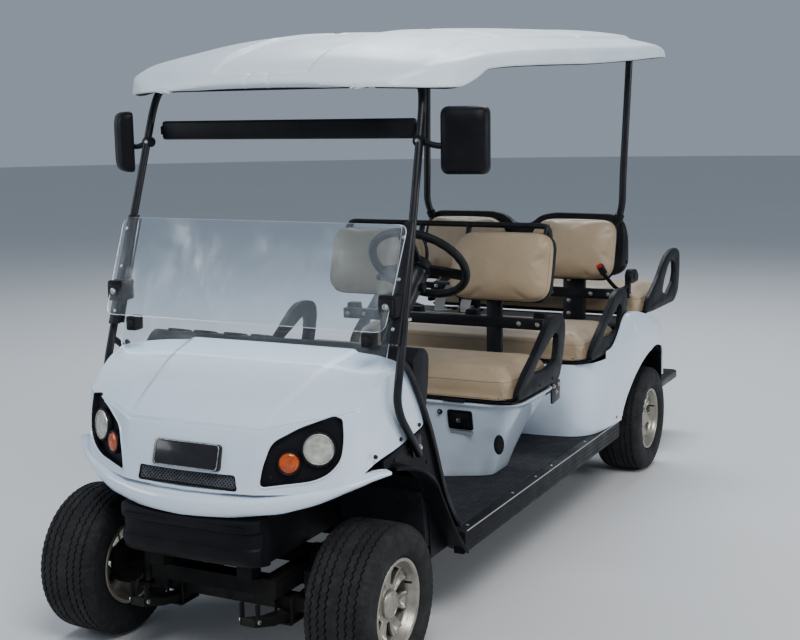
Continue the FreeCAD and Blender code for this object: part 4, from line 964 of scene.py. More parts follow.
def make_wheel(name, hand, plane, station, body):
    n, amp = 264, 2.9
    tread = [-77, -69.6, -68.6, -65.0, -64.0, -45.4, -44.4, -41.0, -40.0, -22.2, -21.2, -17.8, -16.8]
    depth = [0, 0, 6.0, 6.0, 0, 0, 6.5, 6.5, 0, 0, 6.5, 6.5, 0]
    tread = tread + [-a for a in reversed(tread)]
    depth = depth + list(reversed(depth))
    crown = [228.5 - 3.4 * (abs(a) / 77) ** 3.2 - 0.6 for a in tread]
    inner = [(-a, r) for a, r in reversed(TYRE)]
    lining = [(60, 121), (20, 118.6), (-20, 116.8), (-50, 120.6)]
    b = Build()
    rings = []
    for k in range(n):
        phi = 2 * math.pi * k / n
        zig = (0, 1, 0, -1)[k % 4] * amp
        zag = (1, 1, -1, -1)[k % 4]
        ring = []
        for a, r in TYRE:
            block = 0
            if r > 200 and zag < 0:
                block = 2.4 * smooth((r - 200) / 14)
            ring.append((a + (0.6 if block else 0), r - block * 0.6))
        for a, d, c in zip(tread, depth, crown):
            fade = 1.0 if abs(a) < 74 else 0.0
            ring.append((a + zig * fade, c - d))
        for a, r in inner:
            block = 0
            if r > 200 and zag < 0:
                block = 2.4 * smooth((r - 200) / 14)
            ring.append((a - (0.6 if block else 0), r - block * 0.6))
        ring += lining
        rings.append([V3(hand * (plane + a), station + r * math.sin(phi), AZ + r * math.cos(phi)) for a, r in ring])
    w = len(rings[0])
    verts = [p for ring in rings for p in ring]
    faces = []
    for i in range(n):
        for j in range(w):
            a, c = i * w + j, i * w + (j + 1) % w
            e = ((i + 1) % n) * w
            faces.append((a, c, e + (j + 1) % w, e + j))
    b.add(verts, faces, "tyre")
    b.done("tyre_moulding_" + name, body, ["tyre_" + name], angle=40)

    m = Build()
    o = V3(hand * plane, station, AZ)
    ax = (hand, 0, 0)
    section = [(-72, 112.5), (-88, 121.5), (-89, 124), (-89, 131), (-87.5, 133), (-84, 133), (-82.4, 131), (-81, 126), (-78.9, 123.6), (-60, 121.0),
               (-22, 115.8), (-18, 115.8), (40, 119.6), (79, 123.6), (81, 126), (82.4, 131), (84, 133), (87.5, 133), (89, 131), (89, 124.5), (87, 122),
               (82, 119.5), (74, 117.5), (68, 113.5), (62, 110), (44, 107.5), (-10, 107.5), (-64, 111), (-72, 112.5)]
    m.lathe(o, ax, section, "rim", 96)
    # face: seven wedge spokes with raised edges between dark slots
    per = 24
    na = 7 * per
    radii = [30, 36, 43, 50, 56, 60, 66, 74, 82, 90, 96, 100, 104, 109]

    def relief(r, q):
        """Axial place of the face at radius r; q is 0 in a spoke's middle and 1 in a slot's."""
        base = 52 + 8 * smooth((46 - r) / 14) + 6 * smooth((r - 84) / 20)
        ridge = math.exp(-((q - 0.46) / 0.10) ** 2) * smooth((r - 44) / 14)
        dish = -3.5 * (1 - smooth(q / 0.34)) * smooth((r - 52) / 14) * (1 - smooth((r - 92) / 10))
        return base + 4.5 * ridge + dish

    def point(r, k, back=0.0):
        phi = 2 * math.pi * k / na
        q = abs(((k / per) + 0.5) % 1.0 - 0.5) * 2
        a = relief(r, q) - back
        return V3(hand * (plane + a), station + r * math.sin(phi), AZ + r * math.cos(phi))

    def slot(i, k):
        q = ((k + 0.5) / per + 0.5) % 1.0 - 0.5
        q = abs(q) * 2
        r = (radii[i] + radii[i + 1]) / 2
        return 57 < r < 103 and q > 0.56

    for back in (0.0, 7.0):
        keep, grid = [], [[point(r, k, back) for k in range(na)] for r in radii]
        for i in range(len(radii) - 1):
            for k in range(na):
                if not slot(i, k):
                    c = (k + 1) % na
                    keep.append((i * na + k, i * na + c, (i + 1) * na + c, (i + 1) * na + k))
        m.add([p for row in grid for p in row], keep, "rim")
    walls, wf = [], []
    for i in range(len(radii) - 1):
        for k in range(na):
            if slot(i, k):
                c = (k + 1) % na
                sides = []
                if not slot(i, (k - 1) % na):
                    sides.append(((radii[i], k), (radii[i + 1], k)))
                if not slot(i, c):
                    sides.append(((radii[i], c), (radii[i + 1], c)))
                if i == 0 or not slot(i - 1, k):
                    sides.append(((radii[i], k), (radii[i], c)))
                if not slot(i + 1, k):
                    sides.append(((radii[i + 1], k), (radii[i + 1], c)))
                for (r0, k0), (r1, k1) in sides:
                    base = len(walls)
                    walls += [point(r0, k0), point(r1, k1), point(r1, k1, 7.0), point(r0, k0, 7.0)]
                    wf.append((base, base + 1, base + 2, base + 3))
    m.add(walls, wf, "rim")
    m.lathe(o, ax, [(30, 0), (30, 28), (40, 40), (60, 42), (65, 40.5), (68, 37), (68.6, 33), (67.6, 31), (68.6, 29), (70.4, 24), (72, 14), (72.6, 0)], "rim", 56)
    m.cyl(o + V3(hand * 60, 96 * math.sin(1.2), 96 * math.cos(1.2)), o + V3(hand * 84, 98 * math.sin(1.2), 98 * math.cos(1.2)), 3.4, "urethane", 12)
    m.done("rim_casting_" + name, body, ["rim_" + name], angle=34, weld=0.05, fix=True)


for name, hand, plane, station in (("fl", 1, 458, 0), ("fr", -1, 458, 0), ("rl", 1, 474, WB), ("rr", -1, 474, WB)):
    make_wheel(name, hand, plane, station, "wheel_" + name)


# ------------------------------------------------------------------ windshield and struts
LEAN = 0.3154


def pane(name, half, thick, radius, replaces):
    """Flat clear sheet with rounded corners and light edges that paint a highlight. half: (x, station, z) of the left
    half, top to bottom.
    """
    pts = [Vector(p) for p in half]
    full = fillet(pts + [V3(-p.x, p.y, p.z) for p in reversed(pts)], radius, 5, True)
    n = len(full)
    b = Build()
    back = [p + V3(0, thick, 0) for p in full]
    b.add(full, [tuple(range(n))], "acrylic")
    b.add(back, [tuple(reversed(range(n)))], "acrylic")
    b.add(full + back, [(i, (i + 1) % n, n + (i + 1) % n, n + i) for i in range(n)], "acrylic_edge")
    obj = b.done(name, replaces=replaces, angle=20, weld=0.05)
    obj.visible_shadow = False
    return obj


def screen_st(z):
    return 132 + (z - 950) * LEAN


pane("windshield_lower_pane", [(x, screen_st(z) - 8, z) for x, z in [(462, 1266), (466, 960), (463, 892), (446, 862), (410, 857), (300, 872)]], 5, 14,
     ["windshield_lower"])
pane("windshield_upper_pane", [(495, 191, 1270), (481, 62, 982)], 5.4, 30, ["windshield_upper"])


def make_struts():
    b = Build()
    hoop = [(510, 217, 603), (510, 157, 674), (509, 104, 734), (507.5, 84, 785), (507, 96, 840), (504, 132, 950), (476, 337, 1600),
            (466, 356, 1655), (430, 366, 1688), (380, 369, 1697)]
    pts = [Vector(p) for p in hoop]
    pts = pts + flip(reversed(pts))
    path = fillet(pts, 46, 6)
    b.tube(path, 12, "steel", 20)
    for hand in (1, -1):
        tf = hand_tf(hand)
        # channel that carries the lower glass, with its rubber bead
        b.prism([V3(470, 99, 945), V3(470, 219, 1275), V3(500, 219, 1275), V3(505, 99, 945)], (0, 22, 0), "steel", 3, 2, tf)
        b.tube([V3(468, 121, 948), V3(468, 235, 1262)], 4, "plastic", 8, tf, flat=(5, 8), up=(1, 0, 0))
        # foot: flattened end with a plate and bolts
        b.prism(fillet([V3(498, 186, 598), V3(498, 244, 612), V3(498, 236, 664), V3(498, 180, 654)], 12, 4, True), (9, 0, 0), "steel", 2, 2, tf)
        b.bolt((507, 226, 622), (1, 0, 0), 7, "bright", tf=tf)
        # hinge clips that hold the folded glass, and the latches above
        for z, w, h in ((1049, 38, 32),):
            s = screen_st(z)
            b.box((444, s - 66, z - h), (500, s + 2, z + h), "plastic", 7, 3, tf)
            b.box((450, s - 72, z - h + 10), (494, s - 62, z + h - 10), "urethane", 3, 2, tf)
            b.bolt((472, s - 72, z), (0, -1, 0), 7, "bright", 4, tf)
        s = screen_st(952)
        b.box((392, s - 44, 930), (428, s + 2, 974), "plastic", 6, 3, tf)
        b.cyl((410, s - 50, 952), (410, s - 40, 952), 11, "urethane", 20, 2, tf)
        for z in (985, 1120, 1235):
            b.bolt((484, screen_st(z) - 31 + 0, z), (0, -1, 0.3), 3.6, "bright", 3, tf)
        # clamps that tie the hoop to the roof
        b.box((276, 345, 1684), (324, 393, 1708), "steel", 4, 2, tf)
        b.bolt((300, 369, 1684), (0, 0, -1), 6, "bright", tf=tf)
        b.tube([V3(494, 150, 1002), V3(507, 152, 1006), V3(521, 154, 1010)], 5, "bright", 8, tf)
    b.done("front_hoop", replaces=["front_struts"])
    m = Build()
    m.box((-448, 339, 1506), (448, 363, 1565), "plastic", 9, 3)
    for hand in (1, -1):
        m.box((hand * 446 - 12, 346, 1522), (hand * 446 + 12, 358, 1550), "plastic", 4, 2)
    m.box((-250, 363, 1514), (250, 372, 1557), "glass_dark", 3, 2)
    m.done("mirror_bar_moulding", replaces=["mirror_bar"])
    r = Build()
    rear = [(471, 2378, 1822), (471, 2374, 1770), (468, 2362, 1609), (461, 2340, 1300), (461, 2335, 1180), (444, 2346, 1118), (428, 2349, 1080)]
    for hand in (1, -1):
        tf = hand_tf(hand)
        r.tube(fillet(rear, 40, 5), 15, "steel", 20, tf)
        r.prism(fillet([V3(436, 2352, 1794), V3(506, 2352, 1794), V3(506, 2404, 1797), V3(436, 2404, 1797)], 8, 3, True), (0, 0, 8), "steel", 1.5, 2, tf)
        for x in (446, 496):
            r.bolt((x, 2378, 1795), (0, 0, -1), 5.5, "bright", tf=tf)
        r.cyl((449, 2342, 1136), (438, 2347, 1106), 20, "plastic", 20, 3, tf)
    r.done("rear_strut_tubes", replaces=["rear_struts"])


make_struts()


def make_mirrors():
    for hand, angle, x, side in ((1, 12, 602, "left"), (-1, -45, 606, "right")):
        turn = Matrix.Translation(V3(hand * x, 347, 1500)) @ Matrix.Rotation(math.radians(angle), 4, "Z")
        b = Build()
        rows = []
        # housing sections from the front dome to the mirror's bezel; columns: depth, half width, half height
        for y, w, h, r in ((-25, 30, 52, 24), (-24, 46, 70, 28), (-20, 58, 84, 30), (-12, 66, 92, 28), (0, 70, 96, 26), (18, 72, 97, 24), (23, 71, 96, 24),
                           (25, 67, 92, 21), (21, 65, 90, 20), (20, 40, 60, 18)):
            rows.append([Vector((a, y, c)) for a, c in flat2([(-w, -h), (w, -h), (w, h), (-w, h)], r, 6)])
        b.grid(rows, "plastic", turn, wrap=True)
        b.add(rows[0], [tuple(range(len(rows[0])))], "plastic", turn)
        b.add(rows[-1], [tuple(reversed(range(len(rows[-1]))))], "plastic", turn)
        glass = [Vector((a, 20.5, c)) for a, c in flat2([(-62, -87), (62, -87), (62, 87), (-62, 87)], 18, 6)]
        b.prism(glass, (0, 2.5, 0), "glass_dark", 0.8, 1, turn)
        a, c = V3(hand * 480, 314, 1500), V3(hand * (x - 22), 347, 1486)
        b.tube(fillet([a, lerp(a, c, 0.45) + V3(0, -6, -9), c], 20, 4), 9, "plastic", 12)
        b.cyl(a + V3(-hand * 2, 12, 0), a + V3(-hand * 2, -18, 0), 17, "plastic", 20, 3)
        b.bolt(a + V3(-hand * 2, -18, 0), (0, -1, 0), 5, "bright", 3)
        b.done("side_mirror_" + side, replaces=["side_mirrors"])


make_mirrors()


# ------------------------------------------------------------------ roof
# columns: station, half width, z of the edge, z of the shoulder, z of the crown
ROOF = [(200, 330, 1654, 1664, 1676), (206, 362, 1653.4, 1669, 1685), (216, 398, 1652.5, 1675, 1695), (232, 440, 1651, 1682, 1706),
        (300, 525, 1649, 1708, 1746), (392, 562, 1650, 1728, 1776), (500, 570, 1672, 1744, 1800), (610, 572, 1706, 1757, 1822),
        (1000, 572, 1727, 1782, 1852), (1567, 572, 1747, 1808, 1882), (2100, 572, 1774, 1831, 1903), (2480, 572, 1796, 1850, 1916),
        (2610, 562, 1801, 1844, 1904), (2650, 550, 1803, 1839, 1896), (2660, 540, 1804, 1834, 1886)]


def roof_relief(x, s, z):
    """Raised side panels beside a sunken centre, above the crease that steps across the front."""
    ax = abs(x)
    jog = 1700 - 26 * smooth((x - 24) / 22) * (1 - smooth((x - 330) / 60)) * 0.0
    front = smooth((z - jog) / 4.0)
    outer = float(np.interp(s, [230, 300, 498, 790, 1200, 2400, 2660], [500, 496, 468, 414, 424, 430, 420]))
    rear = 1 - smooth((s - 2470) / 20)
    lanes = smooth((ax - 160) / 9) * (1 - smooth((ax - outer) / 15))
    groove = 1.0
    for g in (1010, 1820):
        groove *= 1 - 0.85 * math.exp(-((s - g) / 20) ** 2)
    edge = 3.0 * math.exp(-((z - jog + 3) / 3.0) ** 2) * (1 - smooth((s - 420) / 60))
    s_mark = -5.0 * math.exp(-((x - 40 + (z - 1676) * 0.35) / 7.0) ** 2) * (1 - smooth((z - 1700) / 8)) * (1 - smooth((s - 330) / 40))
    return -3.5 * front * (1 - smooth((s - 620) / 200)) + edge + s_mark + 11.0 * lanes * front * rear * groove


def make_roof():
    stations = [200, 202, 204, 206, 208.5, 211, 213.5, 216, 219, 222, 225, 228, 232, 236, 240, 245, 250, 256, 262, 270, 278, 288] + list(np.arange(298, 620, 9.5)) + list(np.arange(620, 2600, 22)) + \
               [2606, 2620, 2634, 2645, 2652, 2657, 2660]
    outer, nx = [], 72
    for s in stations:
        _, h, edge, sh, crown = table_at(ROOF, s)
        d = sh - edge
        top = []
        span = h - 24
        for k in range(nx + 1):
            x = span * k / nx
            z = crown - (crown - sh) * (x / (h - 22)) ** 2.45
            soft = min(1.0, (h - x) / 60)
            z += roof_relief(x, s, z) * soft
            top.append((x, z))
        zl = top[-1][1]
        prof = top + [(h - 15, zl - 5), (h - 8.5, zl - 12), (h - 5.5, zl - 0.42 * d), (h - 3, zl - 0.68 * d), (h - 0.6, edge + 9), (h, edge + 4),
                      (h - 1, edge + 1), (h - 4, edge), (h - 15, edge + 0.5)]
        row = [V3(-x, s, z) for x, z in reversed(prof)] + [V3(x, s, z) for x, z in prof[1:]]
        outer.append(row)
    b = Build()
    # the front's lower lip turns under the first row
    first = [V3(p.x * 0.995, p.y + 2.0, max(table_at(ROOF, 200)[2], p.z - 9)) for p in outer[0]]
    under = [V3(p.x * 0.985, p.y + 16, table_at(ROOF, 200)[2] + 0.5) for p in outer[0]]
    last = [V3(p.x * 0.99, p.y - 2, lerp(table_at(ROOF, 2660)[2], p.z, 0.35)) for p in outer[-1]]
    tail = [V3(p.x * 0.98, p.y - 12, table_at(ROOF, 2660)[2] + 0.5) for p in outer[-1]]
    b.grid([under, first] + outer + [last, tail], "roof")
    obj = b.done("roof_canopy_shell", fix=False, angle=48)
    bm = bmesh.new()
    bm.from_mesh(obj.data)
    bmesh.ops.recalc_face_normals(bm, faces=bm.faces)
    probe = max(bm.faces, key=lambda f: f.calc_center_median().z)
    if probe.normal.z < 0:
        bmesh.ops.reverse_faces(bm, faces=bm.faces)
    bm.to_mesh(obj.data)
    bm.free()
    modify(obj, "SOLIDIFY", thickness=0.006, offset=-1.0)
    apply_modifiers(obj, 48)
    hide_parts("roof_canopy")
    d = Build()
    # moulded pads on the underside and the black seal below the fascia
    for hand in (1, -1):
        tf = hand_tf(hand)
        d.box((258, 340, 1709), (342, 398, 1738), "roof", 4, 2, tf)
        d.box((438, 2348, 1803), (504, 2408, 1850), "roof", 4, 2, tf)
        seal = []
        for s in (216, 240, 300, 392, 500, 610, 800, 1000, 1300, 1567, 2000, 2480, 2640):
            _, h, edge, sh, crown = table_at(ROOF, s)
            seal.append(V3(h - 13, s + 4, edge + 0.5))
        d.tube(spline(seal, 3), 3.5, "plastic", 8, tf)
    front = [V3(x, 213 + 0.00012 * x * x, 1654.5) for x in range(-360, 361, 40)]
    d.tube(front, 3.5, "plastic", 8)
    # ribs under the roof follow its crown
    for s in (520, 900, 1300, 1700, 2100, 2440):
        _, h, edge, sh, crown = table_at(ROOF, s)
        arc = []
        for x in np.linspace(-(h - 60), h - 60, 25):
            arc.append(V3(x, s, crown - (crown - sh) * (abs(x) / (h - 22)) ** 2.45 - 13))
        d.tube(arc, 8, "roof", 10, flat=(20, 7), up=(0, 0, 1))
    d.done("roof_details")


make_roof()


# ------------------------------------------------------------------ front seat pod
def make_pod():
    # columns: z, half width of the front face, half width, stations of the front, of the corner and of the back
    foot, rim = (305.5, 236, 384, 989, 1066, 1240), (594, 440, 525, 938, 985, 1322)

    def ring(z, off=0.0):
        t = (z - 305.5) / 288.5
        f = lerp(t, t ** 1.7, 0.45) if t > 0 else 0
        h1, h2, a, c, b = [lerp(p, q, f) for p, q in zip(foot[1:], rim[1:])]
        h1, h2, a, c, b = h1 - off / 2, h2 - off, a + off, c + off / 2, b - off
        pts = [V3(-h1, a, z), V3(h1, a, z), V3(h2, c, z), V3(h2, b, z), V3(-h2, b, z), V3(-h2, c, z)]
        rad = lerp(34, 60, t)
        return fillet(pts, rad, 5, True)

    b = Build()
    heights = [306, 312, 330, 370, 410, 450, 490, 520, 545, 562, 574]
    rows = [ring(306, 6), ring(306, 1.5)] + [ring(z) for z in heights[1:]]
    rows += [ring(579, -3), ring(583, -6.5), ring(588, -8), ring(592, -6.5), ring(594, -2), ring(594, 9), ring(590, 12), ring(560, 13)]
    b.grid(rows, "white", wrap=True)
    obj = b.done("front_pod_shell", angle=50)
    modify(obj, "SOLIDIFY", thickness=0.003, offset=-1.0)
    apply_modifiers(obj, 50)
    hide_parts("front_seat_pod")
    d = Build()
    # control panel on the front face, a knob and a switch on the cut corner
    face_s = lambda z: lerp(989, 938, lerp((z - 305.5) / 288.5, ((z - 305.5) / 288.5) ** 1.7, 0.45))
    d.prism(fillet([V3(268, face_s(492) - 1, 492), V3(361, face_s(492) - 1, 492), V3(361, face_s(563) - 1, 563), V3(268, face_s(563) - 1, 563)], 10, 4, True),
            (0, -7, 0), "plastic", 2.5, 2)
    d.prism(fillet([V3(281, face_s(504) - 8, 504), V3(348, face_s(504) - 8, 504), V3(348, face_s(552) - 8, 552), V3(281, face_s(552) - 8, 552)], 8, 4, True),
            (0, -4, 0), "urethane", 1.5, 2)
    d.cyl((314, face_s(528) - 10, 528), (314, face_s(528) - 20, 528), 14, "plastic", 28, 2)
    d.cyl((314, face_s(528) - 20, 528), (314, face_s(528) - 22, 528), 8, "bright", 24, 0.6)
    d.prism(fillet([V3(270, face_s(478), 475), V3(359, face_s(478), 475), V3(359, face_s(488), 487), V3(270, face_s(488), 487)], 2, 2, True),
            (0, -2.2, 0), "web", 0.4, 1)
    d.cyl((238, face_s(548) + 2, 551), (238, face_s(548) - 8, 551), 9.5, "urethane", 24, 2.5)
    d.cyl((238, face_s(548) - 8, 551), (238, face_s(548) - 10, 551), 5, "bright", 20, 0.8)
    n = Vector((0.56, -0.83, 0)).normalized()
    c = V3(446, 978, 445) - n * 4
    u = n.cross(UP)
    oval = [c + u * (18 * math.cos(a)) + UP * (35 * math.sin(a)) for a in [k * math.pi / 14 for k in range(28)]]
    d.prism(oval, n * 9, "plastic", 2.5, 2)
    d.prism([p + n * 8.5 + (c - p) * 0.35 for p in oval], n * 3, "urethane", 1, 1)
    # gasket shadow gap below the cushion and the bracket plate behind the rear corner
    gap = [V3(-500, 948, 597), V3(500, 948, 597), V3(512, 990, 597), V3(512, 1312, 597), V3(-512, 1312, 597), V3(-512, 990, 597)]
    d.tube(fillet(gap, 30, 4, True), 4, "plastic", 8, closed=True)
    for hand in (1, -1):
        tf = hand_tf(hand)
        d.prism(fillet([V3(508, 1322, 520), V3(508, 1404, 528), V3(508, 1408, 602), V3(508, 1318, 602)], 10, 3, True), (7, 0, 0), "steel", 1.5, 2, tf)
        for s, z in ((1340, 585), (1366, 560), (1390, 585)):
            d.bolt((515, s, z), (1, 0, 0), 5.5, "bright", tf=tf)
    d.done("front_pod_details")


make_pod()


# ------------------------------------------------------------------ rear body
BODY = [(1676, 306), (1676, 606), (1700, 622), (1950, 630), (2045, 687), (2112, 742), (2200, 744), (2290, 723), (2520, 657),
        (2640, 588), (2706, 500), (2718, 400), (2706, 330), (2560, 318), (2000, 306)]
BODY_PLAN = [(211, 1676), (450, 1704), (535, 1832), (559, 2132), (574, 2420), (566, 2620), (540, 2718)]
ARCH = [(2040, 240), (2062, 332), (2140, 420), (2255, 492), (2370, 536), (2491, 553), (2600, 535), (2672, 492), (2698, 420), (2710, 240)]


def make_rear_body():
    top = [(p.y, p.z) for p in spline([V3(0, s, z) for s, z in [(1700, 620), (1830, 624), (1940, 630), (1995, 652), (2045, 687), (2085, 722), (2130, 742),
                                                                (2200, 743), (2290, 723), (2400, 695), (2520, 657), (2590, 622), (2645, 583),
                                                                (2690, 530), (2708, 480), (2717, 410), (2712, 350)]], 4)]
    outline = [(1676, 306), (1676, 600), (1684, 615)] + top + [(2704, 330), (2560, 318), (2000, 306)]

    def plan(off, corner=0):
        half = [(p.x - off, p.y) for p in spline([V3(x, s, 0) for x, s in [(330, 1682), (450, 1704), (508, 1752), (535, 1832), (550, 1980), (559, 2132),
                                                                        (570, 2280), (574, 2420), (573, 2530), (566, 2620), (556, 2676)]], 3)]
        start = [(211 - off * 0.5, 1676 + off)]
        end = [(546 - off, 2700 - off), (520 - off, 2712 - off), (470 - off, 2719 - off)]
        half = start + [(x, s + (off if s < 1800 else 0)) for x, s in half] + end
        return [(-x, s) for x, s in reversed(half)] + half

    body = Build()
    body.side(outline, -600, 600, "white", 0)
    body = body.done("rear_body_shell", angle=35)

    def slab(points, z0, z1):
        t = Build()
        t.prism([V3(x, s, z0) for x, s in points], (0, 0, z1 - z0), "white", 0)
        return tool(t)

    def wedge(points, x0, x1):
        t = Build()
        t.side(points, x0, x1, "white", 0)
        return tool(t)

    cut(body, [slab(plan(0), 200, 900)], "INTERSECT", 35)
    inner = Build()
    inner.side([(s + (5 if s < 1700 else -5 if s > 2600 else 0), z - 5 if z > 400 else 200) for s, z in outline], -700, 700, "white", 0)
    inner = tool(inner)
    core = slab(plan(5), 150, 900)
    mod = modify(inner, "BOOLEAN", operation="INTERSECT", solver="EXACT")
    mod.object = core
    bpy.context.view_layer.update()
    apply_modifiers(inner)
    bpy.data.objects.remove(core)
    well1, well2 = Build(), Build()
    well1.prism(fillet([V3(-541, 1500, 594), V3(541, 1500, 594), V3(541, 2168, 594), V3(-541, 2168, 594)], 14, 4, True), (0, 0, 300), "white", 0)
    well2.prism(fillet([V3(-541, 2120, 674), V3(541, 2120, 674), V3(541, 2900, 674), V3(-541, 2900, 674)], 14, 4, True), (0, 0, 300), "white", 0)
    arches = [p.to_tuple()[1:] for p in spline([V3(0, s, z) for s, z in ARCH], 4)]
    tools = [inner, tool(well1), tool(well2), wedge(arches, 344, 700), wedge(arches, -700, -344)]
    for hand in (1, -1):
        t = Build()
        t.box((hand * 190 - 34, 2690, 280), (hand * 190 + 34, 2740, 398), "white", 0)
        tools.append(tool(t))
    cut(body, tools, angle=35)
    bm = bmesh.new()
    bm.from_mesh(body.data)
    bmesh.ops.remove_doubles(bm, verts=bm.verts, dist=0.00005)
    bmesh.ops.dissolve_limit(bm, angle_limit=math.radians(1.2), verts=bm.verts, edges=bm.edges)
    bm.to_mesh(body.data)
    bm.free()
    modify(body, "BEVEL", width=0.0055, segments=3, limit_method="ANGLE", angle_limit=math.radians(38), use_clamp_overlap=True, harden_normals=False)
    apply_modifiers(body, 40)
    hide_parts("rear_body")
    d = Build()
    # flange moulding round each wheel opening, deck panel behind the second bench and wheel houses
    path = spline([V3(0, s, z) for s, z in [(2060, 322), (2075, 352), (2140, 420), (2255, 492), (2370, 536), (2491, 553), (2600, 535), (2672, 492), (2696, 430), (2701, 380)]], 5)
    half = [(1676, 211), (1704, 450), (1832, 535), (2132, 559), (2420, 574), (2620, 566), (2718, 545)]
    for hand in (1, -1):
        tf = hand_tf(hand)
        pts = [V3(float(np.interp(p.y, [a for a, c in half], [c for a, c in half])) - 2.0, p.y, p.z) for p in path]
        d.tube(pts, 4.5, "white", 10, tf)
        d.side([(2052, 300), (2066, 340), (2144, 428), (2258, 500), (2371, 544), (2491, 561), (2604, 543), (2678, 499), (2702, 425), (2704, 330),
                (2698, 330), (2694, 420), (2668, 489), (2598, 530), (2491, 549), (2371, 532), (2256, 488), (2142, 416), (2062, 332), (2058, 300)],
               344, 545, "plastic", 0.8, 1, tf)
        d.box((336, 2070, 306), (343, 2700, 548), "plastic", 1.5, tf=tf)
        for s in (2180, 2300, 2430, 2560):
            d.box((330, s - 3, 320), (336.5, s + 3, 530), "plastic", 1, 1, tf=tf)
        for s, z in ((1812, 330), (1812, 560), (2000, 330)):
            x = float(np.interp(s, [a for a, c in half], [c for a, c in half]))
            d.cyl((x - 2, s, z), (x + 2.5, s, z), 7, "urethane", 18, 1.2, tf)
        # blank place for a badge
        d.prism([V3(562.5, 2186, 652), V3(563.5, 2252, 652), V3(563.5, 2252, 690), V3(562.5, 2186, 690)], (2.6, 0, 0), "white", 1.2, 2, tf)
        # rear lamps, set in the sloping tail
        d.lathe(V3(430, 2707, 470), (0, 0.985, 0.17), [(-8, 0), (-8, 37), (6, 37), (8.5, 35), (9, 32.5), (8, 32), (-2, 32)], "plastic", 40, tf)
        d.lathe(V3(430, 2707, 470), (0, 0.985, 0.17), [(-2, 0), (-2, 31.5), (9, 31.5), (12.5, 26), (14.5, 16), (15, 0)], "red", 40, tf)
    d.box((-539, 2170, 669), (539, 2462, 675.5), "plastic", 2)
    d.box((-534, 2172, 566), (534, 2178, 670), "plastic", 1.5)
    for x in (-470, -160, 160, 470):
        d.bolt((x, 2440, 675.5), (0, 0, 1), 6, "bright")
    for s in (1980, 2030, 2080, 2130):
        d.box((-330, s - 2, 594), (330, s + 2, 597.5), "plastic", 1, 1)
    d.done("rear_body_details")


make_rear_body()


# ------------------------------------------------------------------ seats
BENCHES = [("row1", 926, 1344, 600), ("row2", 1700, 2158, 600), ("row3", 2886, 2462, 680)]
# hip restraint outline from the bench's front edge; columns: station offset, z offset
LOOP = [(4, 14), (22, 50), (90, 100), (165, 140), (235, 188), (300, 232), (345, 249), (420, 251), (470, 234), (482, 190), (464, 120), (442, 58), (412, 14), (90, 12)]
LOOP_HOLE = [(150, 80), (205, 122), (290, 158), (372, 194), (404, 178), (398, 130), (382, 90), (290, 72)]
LOOP3 = [(418, 12), (375, 72), (300, 108), (213, 155), (140, 208), (77, 240), (-10, 256), (-90, 254), (-141, 232), (-146, 141), (-126, 47), (-56, 4), (300, 6)]
LOOP3_HOLE = [(153, 76), (120, 130), (60, 184), (0, 210), (-55, 186), (-62, 140), (-37, 100), (65, 50)]


def inflate(obj, voxel, pressure, cap, pinned, floor=None, frames=20):
    """Cloth under pressure on a remeshed copy, with its movement capped; pinned(co) picks the points that stay."""
    modify(obj, "REMESH", mode="VOXEL", voxel_size=voxel, use_smooth_shade=True)
    apply_modifiers(obj, 60)
    me = obj.data
    rest = np.array([v.co for v in me.vertices])
    group = obj.vertex_groups.new(name="pin")
    pins = [i for i, c in enumerate(rest) if pinned(c)]
    group.add(pins, 1.0, "REPLACE")
    mod = obj.modifiers.new("cloth", "CLOTH")
    st = mod.settings
    st.quality = 4
    st.use_pressure = True
    st.uniform_pressure_force = pressure
    st.effector_weights.gravity = 0
    st.vertex_group_mass = "pin"
    st.tension_stiffness = st.compression_stiffness = 22
    st.bending_stiffness = 1.2
    mod.collision_settings.use_collision = False
    scene = bpy.context.scene
    for k in range(1, frames + 1):
        scene.frame_set(k)
    graph = bpy.context.evaluated_depsgraph_get()
    moved = np.array([v.co for v in obj.evaluated_get(graph).data.vertices])
    obj.modifiers.clear()
    obj.vertex_groups.clear()
    if moved.shape == rest.shape and np.isfinite(moved).all():
        delta = moved - rest
        size = np.linalg.norm(delta, axis=1, keepdims=True)
        delta *= np.minimum(1.0, cap / np.maximum(size, 1e-9))
        rest = rest + delta
    me.vertices.foreach_set("co", rest.astype(np.float32).ravel())
    me.update()
    scene.frame_set(1)
    modify(obj, "SMOOTH", iterations=3, factor=0.5)
    apply_modifiers(obj, 60)
    return obj


def ring_rect(x0, x1, y0, y1, z, r, steps=5):
    r = max(min(r, (x1 - x0) / 2 - 1, (y1 - y0) / 2 - 1), 1)
    return fillet([V3(x0, y0, z), V3(x1, y0, z), V3(x1, y1, z), V3(x0, y1, z)], r, steps, True)


def cushion_rows(x0, x1, y0, y1, z0, tall, r, crown):
    """Closed pillow of stacked outlines: flat below, upright sides, rounded shoulder, crowned top."""
    rows = []
    plan = [(10, 0), (2, 0), (0, 6), (-1.5, tall * 0.32), (0, tall * 0.55), (3, tall * 0.72), (9, tall * 0.86), (20, tall * 0.95), (38, tall),
            (80, tall + crown * 0.55), (130, tall + crown * 0.85), (185, tall + crown)]
    half = (y1 - y0) / 2
    for inset, h in plan:
        inset = min(inset, half - 6)
        rows.append(ring_rect(x0 + inset, x1 - inset, y0 + inset, y1 - inset, z0 + h, r - inset * 0.7, 5))
    return rows


